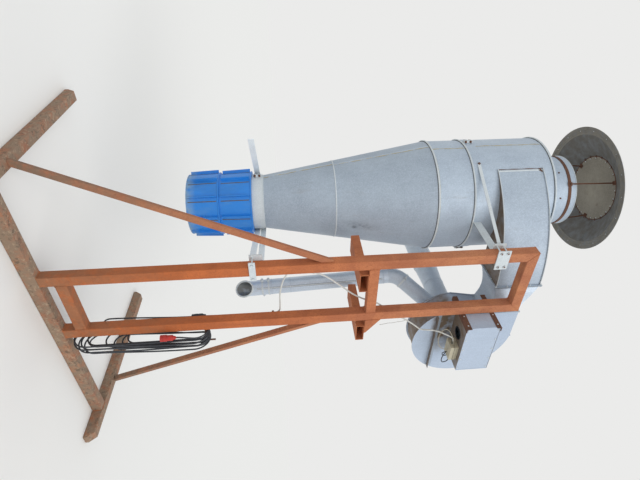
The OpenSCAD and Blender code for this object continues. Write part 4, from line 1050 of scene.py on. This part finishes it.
class CYCLONE_OT_skirt(bpy.types.Operator):
    """Lap the blue skirt's panels and mark their joints"""
    bl_idname = "cyclone.skirt"
    bl_label = "Skirt"

    def execute(self, context):
        # Each tier is 262 high and widens upwards from a radius of 248 to 258.
        lap = context.scene.cyclone_skirt.panel * 1000
        rounded(["upper_skirt", "lower_skirt"], "blue_skirt", 0.0015, 2)
        trims, gaps = [], []
        for top in TIER_TOPS:
            bottom = top - 262
            trims.append(hoop(rectangle(5, 10, 1.6) + [260.2, top - 5], 200))
            trims.append(hoop(rectangle(4.6, 8, 1.4) + [250.2, bottom + 4.2], 200))
            z = np.linspace(top - 246, top - 18, 8)
            r = np.interp(z, [bottom, top], [248, 258]) + 0.3
            gaps += [carried(around(r, deg, z), rectangle(lap * 0.6, 1.6, 0.3), outward(deg))
                     for deg in (234, 270, 306, 342, 162, 198)]
        piece("skirt_edge_beads", trims, "blue_skirt")
        piece("skirt_panel_gaps", gaps, "crop_dust")
        return {"FINISHED"}


class CYCLONE_OT_stage(bpy.types.Operator):
    """Lay the pale floor and set the soft light"""
    bl_idname = "cyclone.stage"
    bl_label = "Floor and Light"

    def execute(self, context):
        settings = context.scene.cyclone_stage
        # A round floor of 90 m, 0.6 mm below the beams.
        turn = full_turn(96)
        mesh = bpy.data.meshes.new("floor")
        rim = points(90 * np.cos(turn), 90 * np.sin(turn), -0.0006)
        mesh.from_pydata(rim.tolist(), [], [list(range(96))])
        floor = linked("floor", mesh)
        # A dull pale floor that keeps the shadow and has no sheen towards the far edge.
        material, tree, sockets, _ = begin("pale_floor", 0.9)
        sockets["Base Color"].default_value = settings.ground
        sockets["Specular IOR Level"].default_value = 0.0
        mesh.materials.append(material)
        sun = bpy.data.lights.new("soft_key", "SUN")
        sun.energy, sun.angle = settings.sun, math.radians(50)
        away = -unit(np.array([0.10, 0.80, -0.60]))
        side = unit(np.cross(UP, away))
        aimed(linked("soft_key", sun), side, np.cross(away, side), away)
        world = bpy.data.worlds.new("even_sky")
        context.scene.world = world
        world.use_nodes = True
        tree = world.node_tree
        tree.nodes.clear()
        # The sky lights the plant evenly, while the camera, glass and metal see a plain pale backdrop.
        rays = add(tree, "LightPath")
        seen = rays["Is Camera Ray"]
        for ray in ("Is Transmission Ray", "Is Glossy Ray"):
            seen = add(tree, "Math", {0: seen, 1: rays[ray]}, operation="MAXIMUM")[0]
        lit = add(tree, "Background", {"Color": (0.95, 0.97, 1.0, 1.0), "Strength": settings.sky})[0]
        pale = add(tree, "Background", {"Color": linear("#ebebea"), "Strength": 1.0})[0]
        add(tree, "OutputWorld", {0: add(tree, "MixShader", {0: seen, 1: lit, 2: pale})[0]})
        context.scene.view_settings.view_transform = "Standard"
        return {"FINISHED"}


class CYCLONE_PT_panel(bpy.types.Panel):
    """Lists the dressing steps in the order in which they run"""
    bl_idname = "CYCLONE_PT_panel"
    bl_label = "Cyclone Separator"
    bl_space_type = "VIEW_3D"
    bl_region_type = "UI"
    bl_category = "Cyclone"

    def draw(self, context):
        for step in STEPS:
            self.layout.operator(step.bl_idname)
        for name in GROUPS:
            column = self.layout.column(align=True)
            group = getattr(context.scene, name)
            for key in type(group).__annotations__:
                column.prop(group, key)


GROUPS = {
    "cyclone_stand": CYCLONE_PG_stand, "cyclone_sheet": CYCLONE_PG_sheet, "cyclone_pipes": CYCLONE_PG_pipes,
    "cyclone_fan": CYCLONE_PG_fan, "cyclone_skirt": CYCLONE_PG_skirt, "cyclone_cables": CYCLONE_PG_cables,
    "cyclone_stage": CYCLONE_PG_stage,
}
STEPS = (CYCLONE_OT_finishes, CYCLONE_OT_camera, CYCLONE_OT_motor_cable, CYCLONE_OT_lead, CYCLONE_OT_stand,
         CYCLONE_OT_shell, CYCLONE_OT_cap, CYCLONE_OT_scroll, CYCLONE_OT_fan, CYCLONE_OT_pipes,
         CYCLONE_OT_holders, CYCLONE_OT_skirt, CYCLONE_OT_stage)


def register():
    for group in GROUPS.values():
        bpy.utils.register_class(group)
    for step in (*STEPS, CYCLONE_PT_panel):
        bpy.utils.register_class(step)
    for name, group in GROUPS.items():
        setattr(bpy.types.Scene, name, bpy.props.PointerProperty(type=group))


def unregister():
    for name in GROUPS:
        delattr(bpy.types.Scene, name)
    for step in (CYCLONE_PT_panel, *reversed(STEPS)):
        bpy.utils.unregister_class(step)
    for group in reversed(list(GROUPS.values())):
        bpy.utils.unregister_class(group)


def main():
    """Registers the add-on and runs the steps in order."""
    register()
    bpy.ops.cyclone.finishes()
    bpy.ops.cyclone.camera()
    bpy.ops.cyclone.motor_cable()
    bpy.ops.cyclone.lead()
    bpy.ops.cyclone.stand()
    bpy.ops.cyclone.shell()
    bpy.ops.cyclone.cap()
    bpy.ops.cyclone.scroll()
    bpy.ops.cyclone.fan()
    bpy.ops.cyclone.pipes()
    bpy.ops.cyclone.holders()
    bpy.ops.cyclone.skirt()
    bpy.ops.cyclone.stage()


if __name__ == "__main__":
    main()
